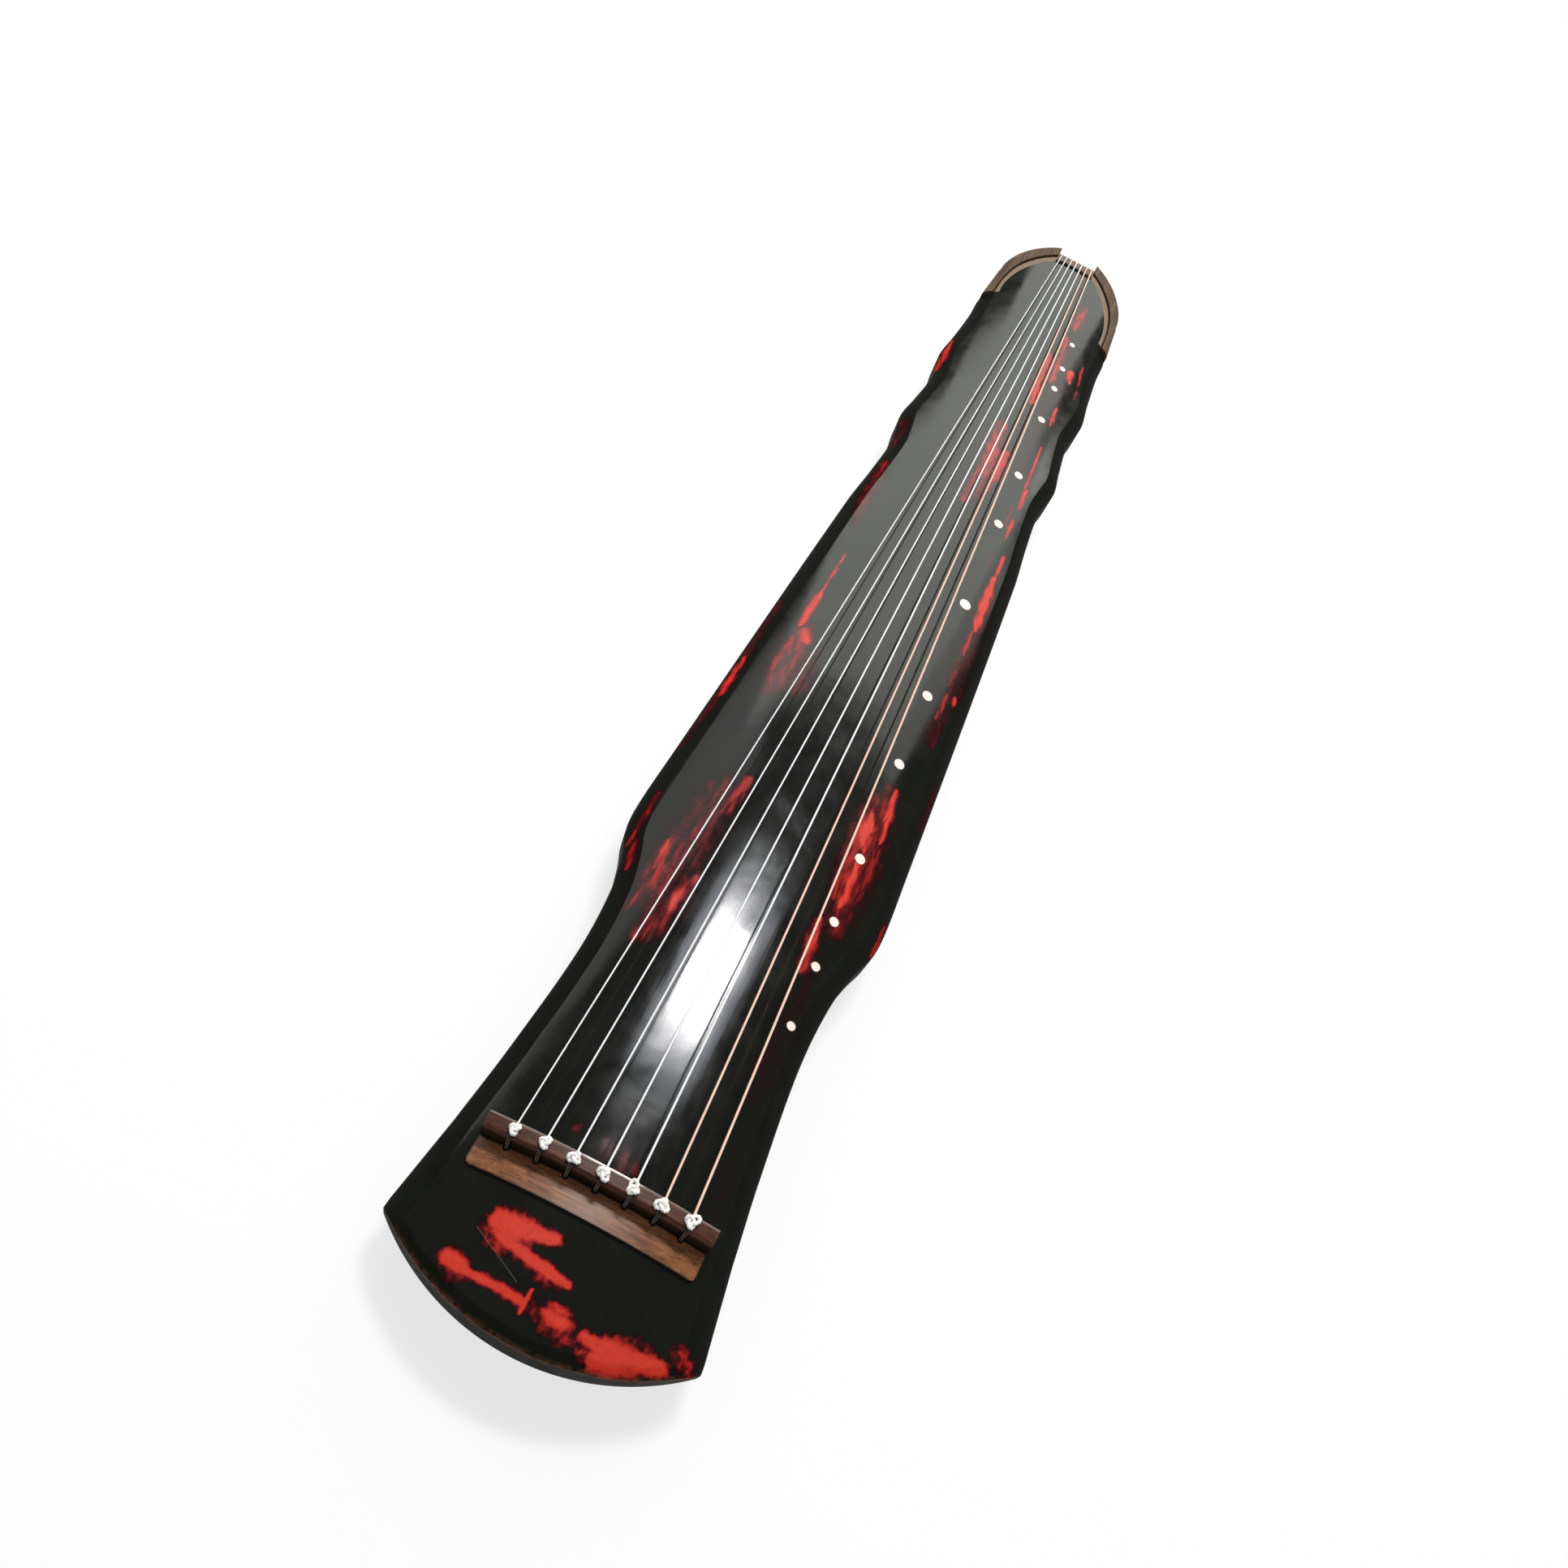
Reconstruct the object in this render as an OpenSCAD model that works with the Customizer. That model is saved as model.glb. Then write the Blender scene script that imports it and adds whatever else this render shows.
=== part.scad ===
// Seven-string zither (guqin): a hollow box of two lacquered boards with
// thirteen inlaid position studs, seven strings, and seven turning pegs.
// The head points along +X, the studs are on the +Y side, and the four feet stand on z = 0.

/* [Strings] */
// Sounding length, from the bridge to the tail nut
string_len = 1100; // [1060:5:1150]
// Distance between neighbouring strings at the bridge
gap_at_bridge = 18.4; // [17:0.1:19.5]
// Distance between neighbouring strings at the tail nut
gap_at_nut = 6.1; // [5:0.1:6.4]
// Thickness of the first and thickest string
first_string_d = 1.6; // [1.2:0.1:1.7]
// Thickness of the seventh and thinnest string
last_string_d = 1; // [0.7:0.1:1.2]
// Thickness of the cord that ends each string in a knot
knot_cord_d = 1.8; // [1.4:0.1:1.9]
// Thickness of the twisted tuning cords
peg_cord_d = 2; // [1.6:0.1:2.2]

/* [Outline] */
// Length of the head, from the bridge to the tip of the forehead
head_len = 97; // [90:1:110]
// Radius of the curved edge of the forehead, in plan
forehead_r = 163; // [145:1:220]
// Width across the corners of the head
head_w = 200; // [190:1:206]
// Width at the bridge
bridge_line_w = 181; // [176:1:186]
// Width at the neck
neck_w = 159; // [152:1:166]
// Width at the shoulder
shoulder_w = 194.6; // [186:1:204]
// Width where the belly ends and the waist starts
belly_w = 164.8; // [160:1:170]
// Width in the first notch of the waist
notch_1_w = 151.2; // [146:1:156]
// Width across the wave between the notches
wave_1_w = 162.4; // [156:1:168]
// Width in the second notch of the waist
notch_2_w = 148.6; // [144:1:154]
// Width across the wave behind the notches
wave_2_w = 158.8; // [153:1:164]
// Width where the tail starts to round off
tail_w = 141.6; // [137:1:146]
// Distance from the tail nut to the end of the tail
tail_len = 22; // [20:1:28]

/* [Body] */
// Height of the feet under the bottom board
stand_h = 22; // [18:1:26]
// Thickness of the bottom board
bottom_t = 9; // [7:0.5:12]
// Height of the whole body at the bridge, along its middle
body_h = 50; // [46:1:56]
// Height of the whole body at the tail nut
body_h_tail = 44; // [40:1:50]
// How far the middle of the forehead bends down
forehead_fall = 12; // [6:1:16]
// Radius of the arch across the top board
arch_r = 240; // [210:5:300]
// Width of the rounded shoulder along each side
edge_round_w = 12; // [8:1:16]
// Height of that rounded shoulder
edge_round_h = 9; // [6:0.5:10]
// Thickness of the top board over the sound box
top_wall = 9; // [7:0.5:12]
// Thickness of the side walls of the sound box
side_wall = 17; // [12:1:22]
// Extra thickness of the top board over each sound hole
sound_block_t = 6; // [3:0.5:8]

/* [Sound holes] */
// Width of both sound holes
sound_hole_w = 27; // [22:1:32]
// Length of the front sound hole
front_hole_len = 210; // [180:5:230]
// Length of the rear sound hole
rear_hole_len = 110; // [90:5:130]

/* [Bridge] */
// Height of the bridge over the top board
bridge_h = 16; // [12:0.5:19]
// Thickness of the bridge along the strings
bridge_t = 10.5; // [9:0.5:13]
// Length of the bridge across the body
bridge_len = 145; // [140:1:150]
// Radius of the arch along the top of the bridge
bridge_arch_r = 330; // [280:10:600]
// Width of the strip with the cord holes, along the strings
strip_w = 17.5; // [15:0.5:24]
// How far the strip stands over the top board
strip_rise = 2; // [1:0.5:3]
// Depth of the rebate that holds the bridge and the strip
rebate_t = 5; // [3:0.5:7]

/* [Pegs] */
// Radius of a cord hole
cord_hole_r = 1.9; // [1.6:0.1:2.2]
// Length of a peg
peg_len = 39.7; // [34:0.1:40]
// Radius of a peg at its foot
peg_r = 6.3; // [5:0.1:7]
// Radius of the bore through a peg
peg_bore_r = 1.6; // [1.5:0.1:1.8]
// Depth of the peg pool under the head
pool_depth = 22; // [18:1:24]
// Width of the peg pool along the strings
pool_w = 28; // [22:1:30]
// Length of the peg pool across the body
pool_len = 132; // [128:1:134]
// Thickness of the plate that the pegs bear on
pool_plate_t = 4; // [3:0.5:6]

/* [Fittings] */
// Height of the tail nut over the top board
nut_h = 2.5; // [1.5:0.5:4]
// Width of the tail nut across the body
nut_w = 43; // [42:0.5:50]
// Diameter of the largest stud, the seventh
stud_d = 10.2; // [8:0.1:11]
// Thickness of the studs
stud_t = 1.4; // [1:0.1:2]
// Radius of the neck of a goose foot, which the strings wind on
foot_neck_r = 7; // [6:0.5:9]
// Radius of the base of a goose foot
foot_base_r = 13; // [11:0.5:16]
// Side of the square tenon of a goose foot
foot_tenon = 12; // [9:0.5:13]
// Length of that tenon
foot_tenon_len = 20; // [14:1:24]
// Diameter of the round sound post
round_post_d = 13; // [10:1:16]
// Side of the square sound post
square_post = 13; // [10:1:16]

/* [Hidden] */
$fn = 48;
STRINGS = 7;
STUDS = 13;

// Colours of the lacquer, woods, shell and cords
LACQUER = [0.07, 0.07, 0.07];
ROSEWOOD = [0.36, 0.23, 0.15];
DARKWOOD = [0.25, 0.14, 0.09];
SHELL = [0.95, 0.92, 0.88];
STRING_GREY = [0.86, 0.85, 0.82];
STRING_WARM = [0.88, 0.72, 0.62];
KNOT_CREAM = [0.93, 0.9, 0.84];
CORD_BROWN = [0.22, 0.12, 0.08];

// Clearances: a glued seat, and the running gap over a peg
fit_gap = 0.05;
run_gap = 0.3;
// How far a cutting body runs out past the solid that it cuts
over = 60;

// Stations along the body are measured from the bridge, positive towards the tail
tail_end = string_len + tail_len;
mid_x = (tail_end - head_len) / 2;
function xo(u) = mid_x - u;

// Levels over the floor
bottom_z = stand_h;
split_z = stand_h + bottom_t;
wall_over_split = 13;
seat_z = split_z + wall_over_split;

// Where each width of the outline lies, as a share of the sounding length
NECK_AT = 0.11;
SHOULDER_AT = 0.218;
BELLY_AT = 0.56;
NOTCH_1_AT = 0.645;
WAVE_1_AT = 0.69;
NOTCH_2_AT = 0.749;
WAVE_2_AT = 0.794;
TAIL_AT = 0.945;
head_line = -5;
tail_line = TAIL_AT * string_len;
tail_narrowing = 1.3;
station_step = 25;

// Half widths between the named ones are blends of their neighbours
function mix(a, b, t) = a + (b - a) * t;
function station(at, half) = [at * string_len, half];
HALF_WIDTHS = [
    [-head_len, head_w / 2],
    [head_line, bridge_line_w / 2],
    station(0.04, mix(bridge_line_w, neck_w, 0.5) / 2),
    station(NECK_AT, neck_w / 2),
    station(0.155, mix(neck_w, shoulder_w, 0.13) / 2),
    station(0.182, mix(neck_w, shoulder_w, 0.5) / 2),
    station(0.2, mix(neck_w, shoulder_w, 0.88) / 2),
    station(SHOULDER_AT, shoulder_w / 2),
    station(0.26, mix(shoulder_w, belly_w, 0.09) / 2),
    station(BELLY_AT, belly_w / 2),
    station(0.605, mix(belly_w, notch_1_w, 0.64) / 2),
    station(NOTCH_1_AT, notch_1_w / 2),
    station(0.669, mix(notch_1_w, wave_1_w, 0.5) / 2),
    station(WAVE_1_AT, wave_1_w / 2),
    station(0.715, mix(wave_1_w, notch_2_w, 0.5) / 2),
    station(NOTCH_2_AT, notch_2_w / 2),
    station(0.772, mix(notch_2_w, wave_2_w, 0.5) / 2),
    station(WAVE_2_AT, wave_2_w / 2),
    station(0.825, mix(wave_2_w, tail_w, 0.37) / 2),
    station(0.868, mix(wave_2_w, tail_w, 0.69) / 2),
    station(0.89, mix(wave_2_w, tail_w, 0.64) / 2),
    station(TAIL_AT, tail_w / 2),
    [tail_end, tail_w / 2 - tail_narrowing]
];

// Cubic blend through the rows of a table, with slopes from the neighbouring rows
function row_slope(t, i) =
    let (a = max(i - 1, 0), b = min(i + 1, len(t) - 1))
    (t[b][1] - t[a][1]) / (t[b][0] - t[a][0]);
function row_of(t, x) = max([for (k = [0:len(t) - 2]) if (x >= t[k][0] || k == 0) k]);
function blend(t, x) =
    let (
        i = row_of(t, x),
        h = t[i + 1][0] - t[i][0],
        s = (x - t[i][0]) / h
    )
    t[i][1] * (2 * s ^ 3 - 3 * s ^ 2 + 1) + t[i + 1][1] * (3 * s ^ 2 - 2 * s ^ 3)
    + h * (row_slope(t, i) * (s ^ 3 - 2 * s ^ 2 + s) + row_slope(t, i + 1) * (s ^ 3 - s ^ 2));
function half_w(s) = blend(HALF_WIDTHS, s);

// The forehead is an arc across the head; the tail rounds off in an arc on each side
function forehead(v) = -head_len + forehead_r - sqrt(forehead_r ^ 2 - v ^ 2);
tail_arc_r = 88;
tail_arc_v = -18;
tail_arc_u = tail_end - sqrt(tail_arc_r ^ 2 - (nut_w / 2 - tail_arc_v) ^ 2);
function tail_edge(v) =
    abs(v) <= nut_w / 2 ? tail_end
    : tail_arc_u + sqrt(max(0, tail_arc_r ^ 2 - (abs(v) - tail_arc_v) ^ 2));

// Plan position [u, v] of a point at nominal station s, v from the middle
function plan(s, v) =
    s < head_line ?
        [mix(head_line, forehead(v), (head_line - s) / (head_line + head_len)), v]
    : s > tail_line ?
        [mix(tail_line, tail_edge(v), (s - tail_line) / (tail_end - tail_line)), v]
    : [s, v];

// Height of the middle of the top board: nearly straight under the strings, bent down at the head
function crown(u) =
    u < 0 ? bottom_z + body_h - forehead_fall * (u / head_len) ^ 2
    : bottom_z + mix(body_h, body_h_tail, u / string_len);
function arch(u, v) = crown(u) - v ^ 2 / (2 * arch_r);
// Fall of a rounded edge of width b and height h, d from the rim: part slope, part ellipse
edge_slope = 0.35;
function edge_fall(d, b, h) =
    d >= b ? 0
    : let (t = 1 - max(d, 0) / b) h * mix(1 - sqrt(1 - t ^ 2), t, edge_slope);
head_round_w = 7;
head_round_h = 4;
function top_z(u, v, w) =
    arch(u, v) - edge_fall(w - abs(v), edge_round_w, edge_round_h)
    - (u < 0 ? edge_fall(u - forehead(v), head_round_w, head_round_h) : 0);

// Nominal stations of the sections, closer together where the outline waves
STATIONS = concat(
    [for (t = [1, 0.97, 0.93, 0.86, 0.7, 0.45, 0.2]) head_line - t * (head_line + head_len)],
    [for (u = [head_line:station_step:0.15 * string_len]) u],
    [for (t = [0.16:0.009:0.225]) t * string_len],
    [for (t = [0.24:0.04:0.57]) t * string_len],
    [for (t = [0.585:0.0125:0.9]) t * string_len],
    [tail_line - station_step, tail_line],
    [for (t = [0.2, 0.4, 0.6, 0.8, 0.92, 1]) mix(tail_line, tail_end, t)]
);
// Places across a section: steps in from the rim, then shares of the arch between
function across(w) =
    let (m = w - edge_round_w)
    concat(
        [for (e = [0, 0.02, 0.1, 0.25, 0.5, 0.75]) e * edge_round_w - w],
        [for (k = [-4:4]) k / 4 * m],
        [for (e = [0.75, 0.5, 0.25, 0.1, 0.02, 0]) w - e * edge_round_w]
    );

// A quad as two triangles, and a face turned to look outwards
function quad(a, b, c, d) = [[a, b, c], [a, c, d]];
function flat(lists) = [for (l = lists) for (x = l) x];
function turned(l) = [for (k = [1:len(l)]) l[len(l) - k]];

// Solid between a list of arched sections, closed flat at level z below.
// Each section is a list of [u, v, z] from the -v side to the +v side.
// Curved ends also follow the first and the last section along the flat underside.
module arched_solid(sections, z, curved_ends = false) {
    n = len(sections[0]);
    m = len(sections);
    tops = [for (s = sections) for (p = s) [xo(p[0]), p[1], p[2]]];
    feet = [for (s = sections) for (j = [0, n - 1]) [xo(s[j][0]), s[j][1], z]];
    rims = curved_ends ?
        [for (s = [sections[0], sections[m - 1]]) for (j = [1:n - 2]) [xo(s[j][0]), s[j][1], z]] : [];
    function foot(i, side) = m * n + 2 * i + side;
    function rim(i, j) =
        j == 0 ? foot(i, 0) : j == n - 1 ? foot(i, 1)
        : m * n + 2 * m + (i == 0 ? 0 : n - 2) + j - 1;
    skin = flat([for (i = [0:m - 2]) for (j = [0:n - 2])
        quad(i * n + j, i * n + j + 1, (i + 1) * n + j + 1, (i + 1) * n + j)]);
    walls = flat([for (i = [0:m - 2]) concat(
        quad(i * n, (i + 1) * n, foot(i + 1, 0), foot(i, 0)),
        quad(foot(i, 1), foot(i + 1, 1), (i + 2) * n - 1, (i + 1) * n - 1),
        quad(foot(i, 0), foot(i + 1, 0), foot(i + 1, 1), foot(i, 1)))]);
    flat_ends = [
        concat([foot(0, 0), foot(0, 1)], [for (j = [1:n]) n - j]),
        concat([foot(m - 1, 1), foot(m - 1, 0)], [for (j = [0:n - 1]) (m - 1) * n + j])
    ];
    round_ends = flat([for (j = [0:n - 2]) concat(
        quad(rim(0, j), rim(0, j + 1), j + 1, j),
        quad((m - 1) * n + j, (m - 1) * n + j + 1, rim(m - 1, j + 1), rim(m - 1, j)))]);
    caps = flat([for (j = [1:n - 2]) [
        [rim(0, 0), rim(0, j + 1), rim(0, j)],
        [rim(m - 1, 0), rim(m - 1, j), rim(m - 1, j + 1)]]]);
    faces = concat(skin, walls, curved_ends ? concat(round_ends, caps) : flat_ends);
    polyhedron(concat(tops, feet, rims), [for (f = faces) turned(f)]);
}

function section(s) = [for (v = across(half_w(s)))
    let (p = plan(s, v)) [p[0], p[1], top_z(p[0], v, half_w(s))]];

// The outline in plan, through the same points as the rim of the top board
function rim_row(s) = [for (v = across(half_w(s))) let (p = plan(s, v)) [xo(p[0]), v]];
function last(l) = l[len(l) - 1];
OUTLINE = concat(
    rim_row(STATIONS[0]),
    [for (i = [1:len(STATIONS) - 2]) last(rim_row(STATIONS[i]))],
    [for (k = [1:len(rim_row(tail_end))]) rim_row(tail_end)[len(rim_row(tail_end)) - k]],
    [for (i = [1:len(STATIONS) - 2]) rim_row(STATIONS[len(STATIONS) - 1 - i])[0]]
);

// Sound box
box_from = 0.04 * string_len;
box_to = 0.9 * string_len;
front_hole_at = 0.375 * string_len;
rear_hole_at = 0.81 * string_len;
foot_at = 0.678 * string_len;
foot_v = 48;
block_margin = 6;
block_ramp = 10;
foot_ramp = 25;
// 1 inside a stretch about a centre, falling to 0 over a ramp outside it
function plateau(d, half, ramp) = min(1, max(0, (half + ramp - abs(d)) / ramp));
function box_half(u) =
    let (narrow = foot_v - foot_tenon / 2 - side_wall)
    mix(half_w(u) - side_wall, narrow, plateau(u - foot_at, foot_tenon, foot_ramp));
function over_hole(u, at, l) = plateau(u - at, l / 2 + block_margin, block_ramp);
function ceiling(u, v) =
    arch(u, v) - top_wall - sound_block_t * plateau(v, sound_hole_w / 2 + block_margin, block_ramp)
    * max(over_hole(u, front_hole_at, front_hole_len), over_hole(u, rear_hole_at, rear_hole_len));
function hole_stations(at, l) = [for (side = [-1, 1]) for (e = [0, block_ramp])
    at + side * (l / 2 + block_margin + e)];
function sorted(l) = len(l) < 2 ? l
    : concat(sorted([for (x = l) if (x < l[0]) x]), [l[0]], sorted([for (x = l) if (x > l[0]) x]));
BOX_STATIONS = sorted(concat(
    hole_stations(front_hole_at, front_hole_len),
    hole_stations(rear_hole_at, rear_hole_len),
    [for (d = [-1, 0, 1]) for (e = [foot_tenon, foot_tenon + foot_ramp]) foot_at + d * e],
    [box_from, 0.11 * string_len, 0.2 * string_len, 0.58 * string_len, box_to]
));
function box_across(u) =
    let (b = box_half(u), k = sound_hole_w / 2 + block_margin, r = k + block_ramp)
    b > r + 3 ? [-b, -mix(r, b, 0.5), -r, -k, 0, k, r, mix(r, b, 0.5), b]
    : [for (t = [-4:4]) t / 4 * b];
module sound_box()
    arched_solid([for (u = BOX_STATIONS) [for (v = box_across(u)) [u, v, ceiling(u, v)]]], split_z - 1);

// Peg row, under the cord holes just behind the bridge
hole_setback = 1.4;
pool_corner_r = 5;
peg_at = -bridge_t - hole_setback;
pool_top = bottom_z + pool_depth;
function string_v(k) = (4 - k) * gap_at_bridge;
function nut_v(k) = (4 - k) * gap_at_nut;
module for_pegs() for (k = [1:STRINGS]) translate([xo(peg_at), string_v(k), 0]) children();
// A block from z0 to z1 with upright rounded corners of radius r
module soft_block(l, w, z0, z1, r) {
    translate([-l / 2 + r, -w / 2, z0]) cube([l - 2 * r, w, z1 - z0]);
    translate([-l / 2, -w / 2 + r, z0]) cube([l, w - 2 * r, z1 - z0]);
    for (x = [-1, 1]) for (y = [-1, 1])
        translate([x * (l / 2 - r), y * (w / 2 - r), z0]) cylinder(r = r, h = z1 - z0);
}
module pool(z0, z1, gap = 0)
    translate([xo(peg_at), 0, 0]) soft_block(pool_w - 2 * gap, pool_len - 2 * gap, z0, z1, pool_corner_r);

// Rebate for the bridge and the strip; its floor is an arch concentric with the board
arch_axis_z = crown(0) - arch_r;
rebate_end = -bridge_t - strip_w;
strip_corner_r = 4;
module lengthwise_cylinder(r, z, from, to)
    translate([xo(to), 0, z]) rotate([0, 90, 0]) cylinder(r = r, h = to - from, $fn = 180);
module rebate_floor(gap = 0)
    lengthwise_cylinder(arch_r - rebate_t - gap, arch_axis_z, rebate_end - over, over);
module rebate_plan(gap) {
    l = bridge_len + 2 * gap;
    translate([xo(0), -l / 2, split_z]) cube([bridge_t + strip_w - strip_corner_r, l, over]);
    translate([xo(rebate_end) - strip_corner_r, -l / 2 + strip_corner_r, split_z])
        cube([strip_corner_r + gap, l - 2 * strip_corner_r, over]);
    for (side = [-1, 1])
        translate([xo(rebate_end) - strip_corner_r + gap, side * (l / 2 - strip_corner_r), split_z])
            cylinder(r = strip_corner_r, h = over);
}
module cord_holes() for_pegs() translate([0, 0, split_z]) cylinder(r = cord_hole_r, h = over);
module bridge_rebate() difference() {
    rebate_plan(fit_gap);
    rebate_floor(fit_gap);
}
// A bar arched across the body: a profile of [u, radius] turned about an axis along the body
bar_angle = 48;
module arched_bar(axis_z)
    translate([xo(0), 0, axis_z]) rotate([0, -90, 0]) rotate([0, 0, -bar_angle / 2])
        rotate_extrude(angle = bar_angle, $fn = 180) children();
// Profile from u0 to u1 with its top at radius r and both top corners rounded
bar_depth = 40;
module bar_profile(u0, u1, r, corner) {
    translate([r - bar_depth, u0]) square([bar_depth - corner, u1 - u0]);
    translate([r - corner - 1, u0 + corner]) square([corner + 1, u1 - u0 - 2 * corner]);
    for (u = [u0 + corner, u1 - corner]) translate([r - corner, u]) circle(r = corner);
}

// Studs stand at the simple divisions of the string, just outside the first string
STUD_SHARES = [1 / 8, 1 / 6, 1 / 5, 1 / 4, 1 / 3, 2 / 5, 1 / 2, 3 / 5, 2 / 3, 3 / 4, 4 / 5, 5 / 6, 7 / 8];
STUD_SIZES = [1, 0.85, 0.81, 0.76, 0.68, 0.63, 0.59];
stud_line = 11.9;
function stud_u(i) = STUD_SHARES[i - 1] * string_len;
function stud_v(i) = mix(string_v(1), nut_v(1), STUD_SHARES[i - 1]) + stud_line;
function stud_r(i) = stud_d / 2 * STUD_SIZES[abs(i - 7)];
module at_stud(i)
    translate([xo(stud_u(i)), stud_v(i), arch(stud_u(i), stud_v(i))])
        rotate([-atan(stud_v(i) / arch_r), 0, 0]) children();

// Tail trims: each fills the plan between an inner arc and the rounded rim of the tail
trim_from = 0.897 * string_len;
trim_arc_r = 120.8;
trim_arc_back = 95.3;
trim_arc_u = string_len - trim_arc_back;
trim_arc_v = -62;
trim_start_a = 94;
trim_end_a = asin((nut_w / 2 - trim_arc_v) / trim_arc_r);
rim_end_a = asin((nut_w / 2 - tail_arc_v) / tail_arc_r);
rim_side_v = half_w(tail_end);
rim_side_a = atan2(rim_side_v - tail_arc_v, tail_edge(rim_side_v) - tail_arc_u);
side_share = 0.4;
TRIM_STEPS = [for (k = [0:16]) k / 16];
function on_arc(u, v, r, a) = [u + r * cos(a), v + r * sin(a)];
function trim_inner(q) = on_arc(trim_arc_u, trim_arc_v, trim_arc_r, mix(trim_start_a, trim_end_a, q));
function trim_outer(q) =
    q < side_share ? let (s = mix(trim_from, tail_end, q / side_share)) plan(s, half_w(s))
    : on_arc(tail_arc_u, tail_arc_v, tail_arc_r,
        mix(rim_side_a, rim_end_a, (q - side_share) / (1 - side_share)));
// Rows of [share of the width, height over the arch]: a low strip, a groove and a raised strip
TRIM_PROFILE = [
    [0, 0.4], [0.28, 0.5], [0.32, -0.6], [0.36, -0.6], [0.4, 1.6],
    [0.65, 2], [0.9, 1.5], [0.97, 0.3], [1, -1.4]
];
function trim_row(q) = [for (f = TRIM_PROFILE)
    let (p = mix(trim_inner(q), trim_outer(q), f[0])) [p[0], p[1], arch(p[0], p[1]) + f[1]]];
module one_trim() arched_solid([for (q = TRIM_STEPS) trim_row(q)], seat_z);
module trim_seat() {
    inner = [for (q = TRIM_STEPS) let (p = trim_inner(q)) [xo(p[0]), p[1]]];
    start = [xo(trim_outer(0)[0]), trim_outer(0)[1]];
    beyond = xo(tail_end + over);
    translate([0, 0, seat_z]) linear_extrude(over)
        polygon(concat(turned(inner), [2 * start - inner[0], [beyond, tail_w], [beyond, nut_w / 2]]));
}

// Tail notch and the two nuts that the strings turn over
nut_end = string_len + 10;
nut_round = 9;
nut_from = nut_end - 2 * nut_round;
notch_depth = tail_end - nut_end;
nut_top = crown(string_len) + nut_h;
lower_nut_len = 18;
lower_nut_w = 54;
lower_round = 3.5;
lower_nut_z = bottom_z - 2;
lower_seat_z = lower_nut_z + 2 * lower_round;
module tail_notch()
    translate([xo(tail_end + over), -nut_w / 2, bottom_z - 1]) cube([over + notch_depth, nut_w, over]);

// Goose feet and peg guards
foot_lip = 1.5;
foot_flare = foot_base_r - foot_neck_r;
guard_v = 77;
guard_l = 34;
guard_w = 13;
guard_tenon_l = 18;
guard_tenon_w = 6;
guard_tenon_h = 7;
guard_corner_r = 4;
guard_taper_l = 3;
guard_taper_w = 1;
guard_rim = 0.5;
module foot_socket(side) {
    s = foot_tenon + 2 * fit_gap;
    translate([xo(foot_at) - s / 2, side * foot_v - s / 2, bottom_z - 1])
        cube([s, s, foot_tenon_len + 1 + fit_gap]);
}
module guard_socket(side)
    translate([xo(peg_at), side * guard_v, bottom_z - 1])
        translate([-guard_tenon_l / 2 - fit_gap, -guard_tenon_w / 2 - fit_gap, 0])
            cube([guard_tenon_l + 2 * fit_gap, guard_tenon_w + 2 * fit_gap, guard_tenon_h + 1 + fit_gap]);

// Sizes along and across a peg
peg_edge = 0.8;
peg_head_r = peg_r - peg_edge;
peg_waist_r = peg_r - 2.2;
peg_flat_r = peg_r - 0.5;
peg_head_h = 4;
peg_grip_z = 9;
peg_end_r = peg_r - 1;
peg_end_h = 2;
peg_side_bore_r = 1.3;

// Sound posts, between the bottom board and the ceiling of the sound box
round_post_at = 0.225 * string_len;
square_post_at = 0.55 * string_len;
post_gap = 0.3;
function post_h(u) = ceiling(u, 0) - split_z - post_gap;

// Tubes: a ring of points about each point of a route, carried along without twist
function unit(a) = a / norm(a);
function heading(p, i) = unit(
    (i > 0 ? unit(p[i] - p[i - 1]) : [0, 0, 0])
    + (i < len(p) - 1 ? unit(p[i + 1] - p[i]) : [0, 0, 0]));
function carried(p, n, i = 0) = i == len(p) ? []
    : let (t = heading(p, i), m = unit(n - (n * t) * t)) concat([m], carried(p, m, i + 1));
module tube(route, r, n, closed = false, sides = 8) {
    p = [for (a = route) [xo(a[0]), a[1], a[2]]];
    c = len(p);
    side_dirs = carried(p, n);
    points = [for (i = [0:c - 1]) for (k = [0:sides - 1])
        let (a = 360 * k / sides, m = side_dirs[i])
        p[i] + r * (cos(a) * m + sin(a) * cross(heading(p, i), m))];
    last_ring = closed ? c - 1 : c - 2;
    faces = flat([for (i = [0:last_ring]) for (k = [0:sides - 1])
        let (j = (i + 1) % c, l = (k + 1) % sides)
        quad(i * sides + k, i * sides + l, j * sides + l, j * sides + k)]);
    ends = closed ? [] : [
        [for (k = [1:sides]) sides - k],
        [for (k = [0:sides - 1]) (c - 1) * sides + k]
    ];
    polyhedron(points, [for (f = concat(faces, ends)) turned(f)]);
}

// Bridge top, and the strings
bridge_top = crown(0) + bridge_h;
bridge_round = 2.5;
touch = 0.08;
function bridge_z(v) = bridge_top - bridge_arch_r + sqrt(bridge_arch_r ^ 2 - v ^ 2);
function nut_z(v) = nut_top - arch_r - nut_h + sqrt((arch_r + nut_h) ^ 2 - v ^ 2);
function string_r(k) = mix(first_string_d, last_string_d, (k - 1) / (STRINGS - 1)) / 2;
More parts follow.
